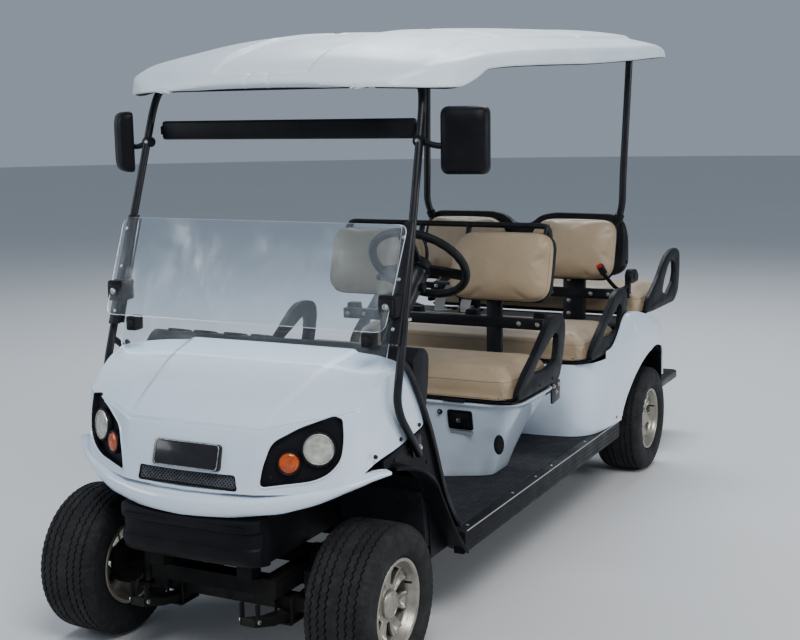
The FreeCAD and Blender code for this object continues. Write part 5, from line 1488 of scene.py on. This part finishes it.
def make_bench(row, front, back, z):
    body = row + "_seat"
    turn = 1 if back > front else -1
    lo, hi = min(front, back), max(front, back)
    b = Build()
    b.prism(ring_rect(-506, 506, lo + 10, hi - 10, z + 1, 44), (0, 0, 19), "plastic", 3, 2)
    b.prism(ring_rect(-514, 514, lo + 1, hi - 1, z + 0.5, 52), (0, 0, 6), "plastic", 1.5, 1)
    for hand in (1, -1):
        tf = hand_tf(hand)
        outline, window = (LOOP3, LOOP3_HOLE) if row == "row3" else (LOOP, LOOP_HOLE)
        shape = fillet([V3(512.5, front + turn * s, z + h) for s, h in outline], 26, 5, True)
        hole = fillet([V3(490, front + turn * s, z + h) for s, h in window], 14, 4, True)
        part = Build()
        part.prism(shape, (23, 0, 0), "plastic", 0)
        part = part.done("hip_restraint", fix=True)
        t = Build()
        t.prism(hole, (60, 0, 0), "plastic", 0)
        cut(part, [tool(t)])
        bm = bmesh.new()
        bm.from_mesh(part.data)
        bmesh.ops.dissolve_limit(bm, angle_limit=math.radians(0.5), verts=bm.verts, edges=bm.edges)
        round_edges(bm, 0.0085, 3, 50)
        for v in bm.verts:
            v.co = Vector((v.co.x * 1000, (v.co.y - FY) * 1000, v.co.z * 1000))
        b.bm(bm, "plastic", tf)
        bpy.data.objects.remove(part)
        b.cyl((260, front, z), (340, front, z), 5, "frame", 16, 1, tf)
        for k in (0, 1):
            s = front + turn * (215 + 130 * k) if row != "row3" else front + turn * (150 + 150 * k)
            b.bolt((535, s, z + (30 if row != "row3" else 34)), (1, 0, 0), 6.0, "urethane", 2.5, tf)
        b.box((250, lo + 60, z - 8), (290, hi - 60, z + 4), "frame", 2, tf=tf)
    b.done(row + "_pan_and_restraints", body, [row + "_seat_base"], angle=40)
    c = Build()
    rows = cushion_rows(-510, 510, lo + 2, hi - 2, z + 9, 86, 60, 12)
    c.grid(rows, "vinyl", wrap=True)
    c.add(rows[0], [tuple(range(len(rows[0])))], "vinyl")
    c.add(rows[-1], [tuple(reversed(range(len(rows[-1]))))], "vinyl")
    obj = c.done(row + "_bench_cushion", body, angle=60)
    bottom = (z + 16) * 0.001
    inflate(obj, 0.0085, 3.6, 0.012, lambda co: co[2] < bottom)
    surface = BVHTree.FromPolygons([v.co.copy() for v in obj.data.vertices], [tuple(p.vertices) for p in obj.data.polygons])
    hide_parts(row + "_cushion")
    # seam round the shoulder, laid on the inflated skin
    s = Build()
    mid = Vector((0, (lo + hi) / 2, 0))
    for inset, h in ((6, 66), (0, 7)):
        line = ring_rect(-510 + inset, 510 - inset, lo + 2 + inset, hi - 2 - inset, z + 9 + h, 56, 6)
        pts = []
        for p in dense(line, 14):
            q = Vector((p.x * 0.001, p.y * 0.001 + FY, p.z * 0.001))
            near = surface.find_nearest(q)[0]
            pts.append(V3(near.x * 1000, (near.y - FY) * 1000, near.z * 1000))
        s.tube(pts, 1.2, "seam", 6, closed=True)
    s.done(row + "_bench_seams", body, slot="tan_vinyl")


def dense(points, step):
    """Closed outline resampled at about the given step."""
    out, n = [], len(points)
    for i in range(n):
        a, b = points[i], points[(i + 1) % n]
        d = (b - a).length
        k = max(int(d / step), 1)
        out += [a.lerp(b, t / k) for t in range(k)]
    return out


for bench in BENCHES:
    make_bench(*bench)

BACKS = [(1384, 890, 15, 1), (2226, 872, 15, 1), (2478, 872, 8, -1)]
PAD_IN, PAD_OUT, PAD_TALL, PAD_DEEP = 60, 462, 258, 62


def back_tf(st, z, angle, facing):
    """From x across, y into the back, z up, to a backrest's place."""
    m = Matrix.Translation(V3(0, st, z)) @ Matrix.Rotation(math.radians(-angle * facing), 4, "X")
    if facing < 0:
        m = m @ Matrix.Scale(-1, 4, Vector((0, 1, 0)))
    return m


def pad_outline(grow=0.0, r=48, steps=6, deep=0.0, outer=462):
    g = grow
    return fillet([V3(PAD_IN - g, deep, -g), V3(outer + g, deep, -g), V3(outer + g, deep, PAD_TALL + g), V3(PAD_IN + 56, deep, PAD_TALL + g),
                   V3(PAD_IN - g, deep, PAD_TALL - 62)], max(r + g * 0.5, 10), steps, True)


def make_backs():
    for n, (st, z, angle, facing) in enumerate(BACKS):
        for hand in (1, -1):
            tf = back_tf(st, z, angle, facing)
            if hand < 0:
                tf = tf @ MIRROR
            c = Build()
            rows = []
            outer = 462 if n == 0 else 442
            for grow, y in ((-8, PAD_DEEP - 1), (-2, PAD_DEEP - 3), (-0.5, PAD_DEEP - 12), (0, 38), (-1, 26), (-4, 17), (-10, 10.5), (-19, 6), (-32, 2.5),
                            (-60, -2), (-95, -5)):
                rows.append(pad_outline(grow, 66, 7, y, outer))
            c.grid(rows, "vinyl", tf, wrap=True)
            c.add(rows[0], [tuple(range(len(rows[0])))], "vinyl", tf)
            c.add(rows[-1], [tuple(reversed(range(len(rows[-1]))))], "vinyl", tf)
            side = "left" if hand > 0 else "right"
            obj = c.done("row%d_back_pad_%s" % (n + 1, side), angle=60)
            inv = tf.inverted()

            def pinned(co, inv=inv):
                q = inv @ V3(co[0] * 1000, (co[1] - FY) * 1000, co[2] * 1000)
                return q.y > PAD_DEEP - 10

            inflate(obj, 0.0075, 3.4, 0.011, pinned)
            if n == 0 and hand > 0:
                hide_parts("backrest_cushions")
            surface = BVHTree.FromPolygons([v.co.copy() for v in obj.data.vertices], [tuple(p.vertices) for p in obj.data.polygons])
            s = Build()
            pts = []
            for p in dense(pad_outline(-3, 64, 7, 22, outer), 12):
                q = tf @ p
                near = surface.find_nearest(Vector((q.x * 0.001, q.y * 0.001 + FY, q.z * 0.001)))[0]
                pts.append(V3(near.x * 1000, (near.y - FY) * 1000, near.z * 1000))
            s.tube(pts, 1.1, "seam", 6, closed=True)
            # moulded tray that holds the pad, seen as a thin dark outline
            tray = [pad_outline(g, 66, 7, y, outer) for g, y in ((0, 44), (2.0, 45), (3.0, 48), (3.0, 60), (1, 64))]
            s.grid(tray, "plastic", tf, wrap=True)
            s.add(tray[-1], [tuple(range(len(tray[-1])))], "plastic", tf)
            s.done("row%d_back_tray_%s" % (n + 1, side), angle=40, slot="black_plastic", fix=True)


make_backs()


def make_back_frames():
    b = Build()
    tf1 = back_tf(*BACKS[0])
    for hand in (1, -1):
        tf = hand_tf(hand)
        t = tf1 if hand > 0 else tf1 @ MIRROR
        plate = pad_outline(2, 66, 7, PAD_DEEP + 1)
        b.prism(plate, (0, 11, 0), "plastic", 3, 2, t)
        for x in (140, 260, 380):
            b.box((x - 5, PAD_DEEP + 11, 20), (x + 5, PAD_DEEP + 15, PAD_TALL - 20), "plastic", 1.5, 2, t)
        b.box((197, 1462.5, 305.5), (259, 1480, 1000), "steel", 2.5, 2, tf)
        b.box((190, 1455, 305.5), (266, 1496, 313), "steel", 2, 2, tf)
        for x in (204, 252):
            b.bolt((x, 1489, 313), (0, 0, 1), 5, "bright", tf=tf)
        b.box((440, 1323, 549), (486, 1462, 590), "steel", 3, 2, tf)
        for x, z in ((215, 790), (241, 790), (228, 586)):
            b.bolt((x, 1492 if z > 700 else 1462, z), (0, 1 if z > 700 else -1, 0), 6, "bright", tf=tf)
        for x in (330, 404):
            b.bolt((x, 1462, 787), (0, -1, 0), 6, "bright", tf=tf)
        for s in (1350, 1430):
            b.bolt((486, s, 570), (1, 0, 0), 6, "bright", tf=tf)
        for x in (416, 100):
            b.side([(1480, 1040), (1496, 1040), (1518, 1078), (1543, 1144), (1541, 1158), (1522, 1156), (1496, 1090)], x - 7, x + 7, "steel", 2, 2, tf)
    b.box((-488, 1422, 549), (488, 1462, 601), "steel", 4, 2)
    b.box((-425, 1462, 766), (425, 1492, 808), "steel", 3, 2)
    b.tube(fillet([V3(-433, 1520, 1088), V3(-425, 1531, 1152), V3(425, 1531, 1152), V3(433, 1520, 1088)], 34, 6), 11, "urethane", 18)
    # rows 2 and 3: one thick shell with two humps
    humps = fillet([V3(x, 0, z) for x, z in [(-450, 874), (450, 874), (477, 920), (477, 1040), (464, 1100), (422, 1136), (150, 1139), (84, 1126), (40, 1088),
                                             (-40, 1088), (-84, 1126), (-150, 1139), (-422, 1136), (-464, 1100), (-477, 1040), (-477, 920)]], 26, 4, True)

    def front_s(z):
        return 2288 + (z - 870) * (2361 - 2288) / 272

    def back_s(z):
        return 2412.5 + (z - 870) * (2377 - 2412.5) / 272

    mid = V3(0, 0, 1000)
    rows = []
    for k in range(9):
        t = k / 8
        inset = 7 * (1 - math.sin(math.pi * min(max(t, 0.0), 1.0)) ** 0.5)
        ring = []
        for p in humps:
            q = p + (mid - p).normalized() * inset
            s = lerp(front_s(q.z), back_s(q.z), t)
            ring.append(V3(q.x, s, q.z))
        rows.append(ring)
    b.grid(rows, "plastic", wrap=True)
    for ring, order in ((rows[0], 1), (rows[-1], -1)):
        c = sum(ring, Vector()) / len(ring)
        k = len(ring)
        b.add(ring, [tuple(range(k))[::order]], "plastic")
    for hand in (1, -1):
        tf = hand_tf(hand)
        b.box((203, 2314.5, 393), (299, 2348, 900), "steel", 3, 2, tf)
        for z in (700, 756, 850):
            b.bolt((230, 2314.5, z), (0, -1, 0), 6, "bright", tf=tf)
        for x in (330, 410, 150):
            b.bolt((x, 2314, 791), (0, -1, 0), 6, "bright", tf=tf)
        for s, z in ((1, 0),):
            b.cyl((474, 2360, 930), (480, 2360, 930), 8, "urethane", 18, 1.2, tf)
    b.box((-425, 2314, 770), (425, 2344, 812), "steel", 3, 2)
    b.done("back_frames_and_shells", replaces=["seat_back_frames"], angle=38, slot="black_steel")


make_back_frames()


def make_belts():
    b = Build()
    for x, s, z in ((400, 1492.5, 760), (-400, 1492.5, 760), (120, 1492.5, 760), (-120, 1492.5, 760)):
        y0, y1 = s, s + 42
        b.box((x - 25, y0, z + 2), (x + 25, y1, z + 66), "plastic", 7, 3)
        for q in (-1, 1):
            b.cyl((x + q * 23, (y0 + y1) / 2, z + 34), (x + q * 28, (y0 + y1) / 2, z + 34), 19, "urethane", 24, 2)
        b.bolt((x, y1, z + 14), (0, 1, 0), 5, "bright")
    for hand in (1, -1):
        tf = hand_tf(hand)
        # rear reels: a covered drum outside the shell on an angle from the cross rail
        b.box((424, 2316, 778), (503, 2342, 806), "steel", 2, 2, tf)
        b.box((481, 2317, 800), (503, 2341, 852), "steel", 2, 2, tf)
        b.side(fillet_2d([(2322, 846), (2352, 838), (2430, 842), (2438, 868), (2404, 896), (2340, 900), (2318, 880)], 10), 479, 508, "plastic", 4, 2, tf)
        b.cyl((507, 2380, 868), (511, 2380, 868), 17, "urethane", 24, 1.5, tf)
        b.bolt((503, 2329, 792), (1, 0, 0), 5, "bright", tf=tf)
        # buckle on its stalk, standing at the outer end of the second backrest
        stalk = [V3(494, 2318, 832), V3(490, 2262, 826), V3(476, 2206, 838), V3(448, 2192, 872), V3(428, 2188, 896)]
        b.tube(spline(stalk, 5), 1, "plastic", 10, tf, flat=(9, 4), up=(0.3, 0.9, 0.3))
        head = Matrix.Translation(V3(420, 2186, 916)) @ Matrix.Rotation(math.radians(-32), 4, "Y")
        head = MIRROR @ head if hand < 0 else head
        b.box((-15, -8, -26), (15, 8, 20), "plastic", 5, 3, head)
        b.box((-12, -9.5, 8), (12, 7.5, 25), "red", 3, 2, head)
        for zz in (-14, -6, 2):
            b.box((-9, -9, zz - 1), (9, -7, zz + 1), "urethane", 0.6, 1, head)
    # webbing folded on the far side of the second bench, each strap ending in a buckle
    for hand, x0, rise in ((-1, 330, 1.0), (-1, 205, 0.7)):
        x = hand * x0
        pts = [V3(x, 2300, 800), V3(x - 4, 2240, 760), V3(x + 2, 2185, 742 + 12 * rise), V3(x + 16, 2140, 716), V3(x + 40, 2098, 716), V3(x + 72, 2090, 722),
               V3(x + 96, 2118, 726)]
        b.tube(spline(pts, 6), 1, "web", 8, flat=(23, 1.2), up=(0, 0, 1))
        e = pts[-1]
        b.box((e.x - 19, e.y - 8, e.z - 3), (e.x + 19, e.y + 30, e.z + 3), "bright", 2, 2)
        b.box((e.x - 22, e.y - 28, e.z - 6), (e.x + 22, e.y - 4, e.z + 6), "plastic", 4, 3)
    b.done("seat_belts_and_reels", replaces=["seat_belts"], slot="belt_black")


def fillet_2d(points, r):
    """Rounded (station, z) outline."""
    return [(p.y, p.z) for p in fillet([V3(0, s, z) for s, z in points], r, 4, True)]


make_belts()


# ------------------------------------------------------------------ floor, sills, platform
def make_floor():
    b = Build()
    b.box((-483, 336, 288), (483, 470, 302.5), "mat", 2, 2)
    b.box((-508.5, 462, 288), (508.5, 2028, 302.6), "mat", 2, 2)
    for k in range(-33, 34):
        x = k * 15.2
        b.box((x - 5, 352 if abs(x) < 470 else 474, 301), (x + 5, 2014, 304.4), "mat", 1.2, 1)
    toe = [(335, 288), (337, 308), (277, 619), (263, 619), (311, 288)]
    b.side(toe, -483, 483, "mat", 2.5, 2)
    for k in range(12):
        t = (k + 1.2) / 13.5
        s, z = lerp(337, 277, t), lerp(308, 619, t)
        b.box((-470, s - 2.0, z - 5), (470, s + 3.2, z + 5), "mat", 1.4, 1)
    b.tube([V3(-483, 352, 307), V3(0, 352, 307), V3(483, 352, 307)], 3, "plastic", 6)
    b.done("floor_mat_ribbed", replaces=["floor_mat"])
    s = Build()
    outline = flat2([(0, 0), (34, 0), (40, 8), (40, 68), (36, 72.5), (0, 72.5)], 3.5, 3)
    for hand in (1, -1):
        tf = hand_tf(hand)
        pts = [V3(510 + a, 452, 232 + c) for a, c in outline]
        s.prism(pts, (0, 1587, 0), "plastic", 1.5, 2, tf, angle=50)
        # light grey strip along the outer top edge, screws along the top and shallow grooves on the face
        s.tube([V3(547.6, 470, 303.0), V3(547.6, 1000, 303.0), V3(547.6, 2036, 303.0)], 1.9, "web", 8, tf)
        for z in (252, 268, 284):
            s.box((549, 470, z - 1.4), (551, 2036, z + 1.4), "plastic", 0.6, 1, tf)
        for st in (520, 900, 1120, 1280, 1660, 1960):
            s.cyl((527, st, 303.5), (527, st, 306), 5, "bright", 16, 0.8, tf)
    s.done("side_sills", replaces=["sills"], slot="black_plastic")
    p = Build()
    outline = fillet([V3(-469, 2901, 253), V3(469, 2901, 253), V3(469, 3289, 253), V3(-469, 3289, 253)], 34, 6, True)
    rows = [[q + V3(0, 0, 0) for q in outline]]
    mid = V3(0, 3095, 0)

    def shrink(off, z):
        res = []
        for q in fillet([V3(-469 + off, 2901 + off, z), V3(469 - off, 2901 + off, z), V3(469 - off, 3289 - off, z), V3(-469 + off, 3289 - off, z)], 34 - off * 0.5, 6, True):
            res.append(q)
        return res
    rings = [shrink(14, 280), shrink(9, 256), shrink(7, 252), shrink(2, 252.5), shrink(0, 257), shrink(0, 280), shrink(1, 285), shrink(5, 287.5)]
    p.grid(rings, "steel", wrap=True)
    top = shrink(5, 287.5)
    low = shrink(14, 280)
    p.add(top, [tuple(range(len(top)))], "frame")
    p.add(low, [tuple(reversed(range(len(low))))], "frame")
    # raised treads
    for i in range(24):
        for j in range(9):
            x, s = -437 + i * 38, 2936 + j * 40
            a = math.radians(45 if (i + j) % 2 else -45)
            c, d = math.cos(a), math.sin(a)
            pts = [V3(x + c * u - d * w, s + d * u + c * w, 287) for u, w in ((-12, 0), (-5, -3), (5, -3), (12, 0), (5, 3), (-5, 3))]
            p.prism(pts, (0, 0, 2.8), "axle", 0.8, 1)
    for x in (-300, 300):
        p.box((x - 20, 2912, 240), (x + 20, 3278, 256), "frame", 2)
    p.done("foot_platform", replaces=["rear_platform"], slot="black_steel")


make_floor()


# ------------------------------------------------------------------ dash, controls
def make_dash():
    b = Build()
    prof = flat2([(250, 640), (250, 868), (276, 890), (302, 901), (336, 892), (357, 868), (352, 800), (332, 702), (302, 628)], 14, 4)
    b.side(prof, -478, 478, "plastic", 5, 3)

    def on_face(z):
        return float(np.interp(z, [628, 702, 800, 868], [302, 332, 352, 357]))

    # glove trays with raised rims, switch panel, key switch and a small gauge
    for x0, x1, z0, z1 in ((-440, -250, 726, 838), (-224, -34, 726, 838), (30, 128, 726, 838), (392, 452, 726, 838)):
        ring = fillet([V3(x0, on_face(z0) + 1, z0), V3(x1, on_face(z0) + 1, z0), V3(x1, on_face(z1) + 1, z1), V3(x0, on_face(z1) + 1, z1)], 14, 4, True)
        b.tube(ring, 4, "urethane", 8, closed=True)
        b.prism([p + V3(0, -1, 0) for p in ring], (0, 2.5, 0), "urethane", 0.8, 1)
    for x, z, r in ((78, 800, 20), (78, 754, 15)):
        s = on_face(z)
        b.cyl((x, s - 2, z), (x, s + 9, z), r, "plastic", 28, 2)
        b.cyl((x, s + 9, z), (x, s + 11, z), r * 0.72, "bright" if r < 18 else "plate", 28, 0.8)
    for x in (-395, -295, -180, -80):
        s = on_face(790)
        b.lathe(V3(x, 322, 892), (0, 0.25, 1), [(0, 36), (6, 38), (8, 36), (8, 33), (3, 31)], "urethane", 32)
    # column boot
    c = V3(260, 750, 1090)
    down = V3(0, -0.70710678, -0.70710678)
    b.lathe(c + down * 500, -down, [(-20, 62), (20, 52), (26, 44), (40, 46), (46, 38), (60, 40), (66, 32), (78, 33), (84, 24)], "urethane", 32)
    b.done("dash_moulding", replaces=["dash"])
    p = Build()
    for x, wide in ((205, 62), (300, 96)):
        pts = fillet([V3(x, 353, 380), V3(x + wide, 353, 380), V3(x + wide, 317, 499), V3(x, 317, 499)], 9, 4, True)
        p.prism(pts, (0, 6, 1.8), "steel", 1.6, 2)
        for k in range(6):
            t = 0.12 + k * 0.15
            s, z = lerp(353, 317, t) + 6, lerp(380, 499, t) + 2
            p.box((x + 6, s - 1, z - 4), (x + wide - 6, s + 4, z + 4), "urethane", 1.4, 1)
        m = x + wide / 2
        p.side([(296, 444), (300, 424), (344, 428), (340, 442)], m - 8, m + 8, "steel", 2, 2)
    p.done("pedal_pads", replaces=["pedals"], slot="black_steel")


make_dash()


def make_steering():
    m = Matrix.Translation(V3(260, 750, 1090)) @ Matrix.Rotation(math.radians(-45), 4, "X")
    b = Build()
    ring = []
    for k in range(96):
        a = 2 * math.pi * k / 96
        ring.append(V3(160 * math.cos(a), 160 * math.sin(a), 0))
    verts, faces, n = [], [], 16
    for k, p in enumerate(ring):
        a = 2 * math.pi * k / 96
        grip = 1.0 + (0.06 if (k % 4) in (0, 1) else 0.0)
        for j in range(n):
            q = 2 * math.pi * j / n
            inner = 1.0 if math.cos(q) > -0.2 else grip
            rr = 13.8 * inner
            verts.append(V3((160 + rr * math.cos(q)) * math.cos(a), (160 + rr * math.cos(q)) * math.sin(a), rr * math.sin(q)))
    for k in range(96):
        for j in range(n):
            faces.append((k * n + j, ((k + 1) % 96) * n + j, ((k + 1) % 96) * n + (j + 1) % n, k * n + (j + 1) % n))
    b.add(verts, faces, "urethane", m)
    for angle in (20, 160, 270):
        a = math.radians(angle)
        u, w = V3(math.cos(a), math.sin(a), 0), V3(-math.sin(a), math.cos(a), 0)
        pts = [u * 30 + V3(0, 0, -14), u * 80 + V3(0, 0, -8), u * 125 + V3(0, 0, -3), u * 156 + V3(0, 0, 0)]
        b.tube(spline(pts, 4), 1, "urethane", 12, m, flat=(24, 6.5), up=(0, 0, 1))
        b.tube([u * 52 + V3(0, 0, -6.5), u * 88 + V3(0, 0, -3), u * 120 + V3(0, 0, 1)], 1, "plastic", 8, m, flat=(9, 2.4), up=(0, 0, 1))
    b.lathe((0, 0, 0), (0, 0, 1), [(-30, 0), (-30, 40), (-26, 46), (-4, 46), (4, 42), (8, 34), (8.5, 30), (6.5, 29), (6.5, 27), (10, 25), (11.5, 16), (12, 0)], "urethane", 40, m)
    # clip board above the hub
    b.box((-46, 30, 2), (46, 82, 9), "plastic", 4, 3, m)
    b.box((-38, 56, 9), (38, 78, 15), "bright", 2, 2, m)
    b.done("steering_wheel_moulding", "steering_wheel_body", ["steering_wheel"], slot="wheel_urethane")
    c = Build()
    o = V3(260, 750, 1090)
    down = V3(0, -0.70710678, -0.70710678)
    c.lathe(o, down, [(33, 0), (33, 38), (36, 42), (60, 42), (66, 40), (180, 30), (184, 26), (184, 22.5), (400, 22.5), (560, 21.5), (574, 18), (575, 0)], "steel", 36)
    side = V3(1, 0, 0)
    c.cyl(o + down * 96 + side * 28, o + down * 96 + side * 52, 14, "plastic", 24, 2)
    c.tube([o + down * 88 + side * -34, o + down * 80 + side * -74, o + down * 66 + side * -112], 5, "steel", 10)
    c.lathe(o + down * 66 + side * -112, (-1, 0.1, 0.2), [(-4, 0), (-4, 9), (2, 11), (16, 10), (20, 6), (21, 0)], "urethane", 20)
    c.done("steering_column_and_lever", replaces=["steering_column"], slot="black_steel")


make_steering()


# ------------------------------------------------------------------ CAD pieces that are shown as they are
def finish_nodes():
    for name, key, width in (("chassis_frame", "frame", 0.0025), ("front_axle", "axle", 0.002), ("rear_axle", "axle", 0.003), ("leaf_springs", "axle", 0.0015),
                             ("knuckle_left", "axle", 0.002), ("knuckle_right", "axle", 0.002), ("tie_rod", "axle", 0.001), ("power_block", "frame", 0.006)):
        o = NODES[name]
        o.data.materials.clear()
        o.data.materials.append(M[key])
        mod = modify(o, "BEVEL", width=width, segments=2, limit_method="ANGLE", angle_limit=math.radians(35), use_clamp_overlap=True)
        for poly in o.data.polygons:
            poly.use_smooth = True
        o.data.set_sharp_from_angle(angle=math.radians(32))


finish_nodes()


def make_underside():
    b = Build()
    for st, zs, zt in ((0, 140, 210), (WB, 172, 258)):
        for hand in (1, -1):
            tf = hand_tf(hand)
            # spring clamps, shackles and dampers
            for s in (-34, 34):
                b.tube([V3(164, st + s, zt), V3(164, st + s, zs - 6), V3(218, st + s, zs - 6), V3(218, st + s, zt)], 5, "axle", 10, tf)
            b.box((160, st - 46, zs - 10), (222, st + 46, zs - 3), "axle", 2, 2, tf)
            b.tube([V3(236, st + 52, zt - 30), V3(240, st + 92, zt + 130)], 19, "plastic", 18, tf)
            b.tube([V3(235, st + 40, zt - 62), V3(237, st + 60, zt - 10)], 9, "bright", 14, tf)
            for s, z in ((-205, 186 + (0 if st < 10 else 82)), (205, 186 + (0 if st < 10 else 82))):
                b.box((160, st + s - 9, z), (166, st + s + 9, z + 66), "frame", 1.5, 2, tf)
                b.box((212, st + s - 9, z), (218, st + s + 9, z + 66), "frame", 1.5, 2, tf)
                b.cyl((156, st + s, z + 14), (222, st + s, z + 14), 7, "bright", 14, 1, tf)
    b.lathe(V3(0, WB + 84, AZ), (0, 1, 0), [(-60, 66), (0, 62), (10, 52), (14, 40), (14, 0)], "axle", 36)
    for k in range(8):
        a = 2 * math.pi * k / 8
        b.bolt(V3(56 * math.sin(a), WB + 93, AZ + 56 * math.cos(a)), (0, 1, 0), 5, "bright")
    for k in range(9):
        b.box((-150 + 34 * k, 1822, 350), (-140 + 34 * k, 1831, 560), "frame", 2)
    b.cyl((-60, 2160, 430), (-60, 2200, 430), 74, "axle", 40, 5)
    b.tube(fillet([V3(120, 2110, 340), V3(120, 2180, 300), V3(120, 2560, 300), V3(90, 2650, 300)], 60, 5), 17, "axle", 16)
    b.tube([V3(-20, 2420, 316), V3(150, 2420, 316)], 46, "axle", 24)
    for hand in (1, -1):
        tf = hand_tf(hand)
        for z in (182, 274):
            b.cyl((310, 0, AZ + (57 if z > 200 else -66)), (310, 0, AZ + (68 if z > 200 else -57)), 13, "bright", 20, 1.5, tf)
    b.done("underside_hardware", slot="axle_steel")


make_underside()


# ------------------------------------------------------------------ camera, floor and light
def make_stage():
    scene = bpy.context.scene
    me = bpy.data.meshes.new("floor")
    n, r = 64, 40.0
    ring = [(r * math.cos(2 * math.pi * k / n), r * math.sin(2 * math.pi * k / n), 0) for k in range(n)]
    me.from_pydata(ring, [], [tuple(range(n))])
    me.materials.append(M["stage"])
    floor = bpy.data.objects.new("studio_floor", me)
    scene.collection.objects.link(floor)
    world = bpy.data.worlds.new("studio")
    world.use_nodes = True
    back = world.node_tree.nodes["Background"]
    back.inputs["Color"].default_value = (0.66, 0.78, 0.93, 1)
    back.inputs["Strength"].default_value = 0.40
    scene.world = world

    def area(name, at, aim, size, power, colour=(1, 1, 1)):
        light = bpy.data.lights.new(name, "AREA")
        light.shape = "RECTANGLE"
        light.size, light.size_y = size
        light.energy = power
        light.color = colour
        o = bpy.data.objects.new(name, light)
        scene.collection.objects.link(o)
        o.location = at
        o.rotation_mode = "QUATERNION"
        o.rotation_quaternion = (Vector(aim) - Vector(at)).to_track_quat("-Z", "Y")
        return o

    area("key", (3.0, -4.2, 5.6), (0, -0.4, 0.8), (3.0, 2.4), 360, (1.0, 0.985, 0.96))
    area("fill", (-5.2, -4.0, 2.6), (0, -0.8, 0.8), (2.6, 2.6), 90, (0.92, 0.96, 1.0))
    area("sky", (-1.2, 4.6, 6.2), (0, -0.6, 0.8), (5.0, 2.2), 420, (0.90, 0.95, 1.0))
    area("side", (6.2, 1.6, 2.4), (0, 0.2, 0.8), (2.6, 2.0), 120, (1, 0.99, 0.97))
    cam = bpy.data.cameras.new("camera")
    cam.sensor_fit = "HORIZONTAL"
    cam.sensor_width = 36.0
    cam.lens = 1304.6933671403158 / 800 * 36.0
    cam.clip_start, cam.clip_end = 0.05, 200
    o = bpy.data.objects.new("camera", cam)
    scene.collection.objects.link(o)
    yaw, pitch, roll = 0.46529394675364594, 0.15773754621716346, 0.014964211963171917
    cy, sy, cp, sp = math.cos(yaw), math.sin(yaw), math.cos(pitch), math.sin(pitch)
    fwd, right = Vector((-sy * cp, cy * cp, -sp)), Vector((cy, sy, 0))
    down = fwd.cross(right)
    x = right * math.cos(roll) + down * math.sin(roll)
    y = -right * math.sin(roll) + down * math.cos(roll)
    m = Matrix(((x.x, -y.x, -fwd.x), (x.y, -y.y, -fwd.y), (x.z, -y.z, -fwd.z)))
    o.matrix_world = Matrix.Translation((2.1088960207760388, -3.0795447585866533 + FY, 1.5809727857827578)) @ m.to_4x4()
    scene.camera = o


make_stage()

bpy.context.view_layer.update()
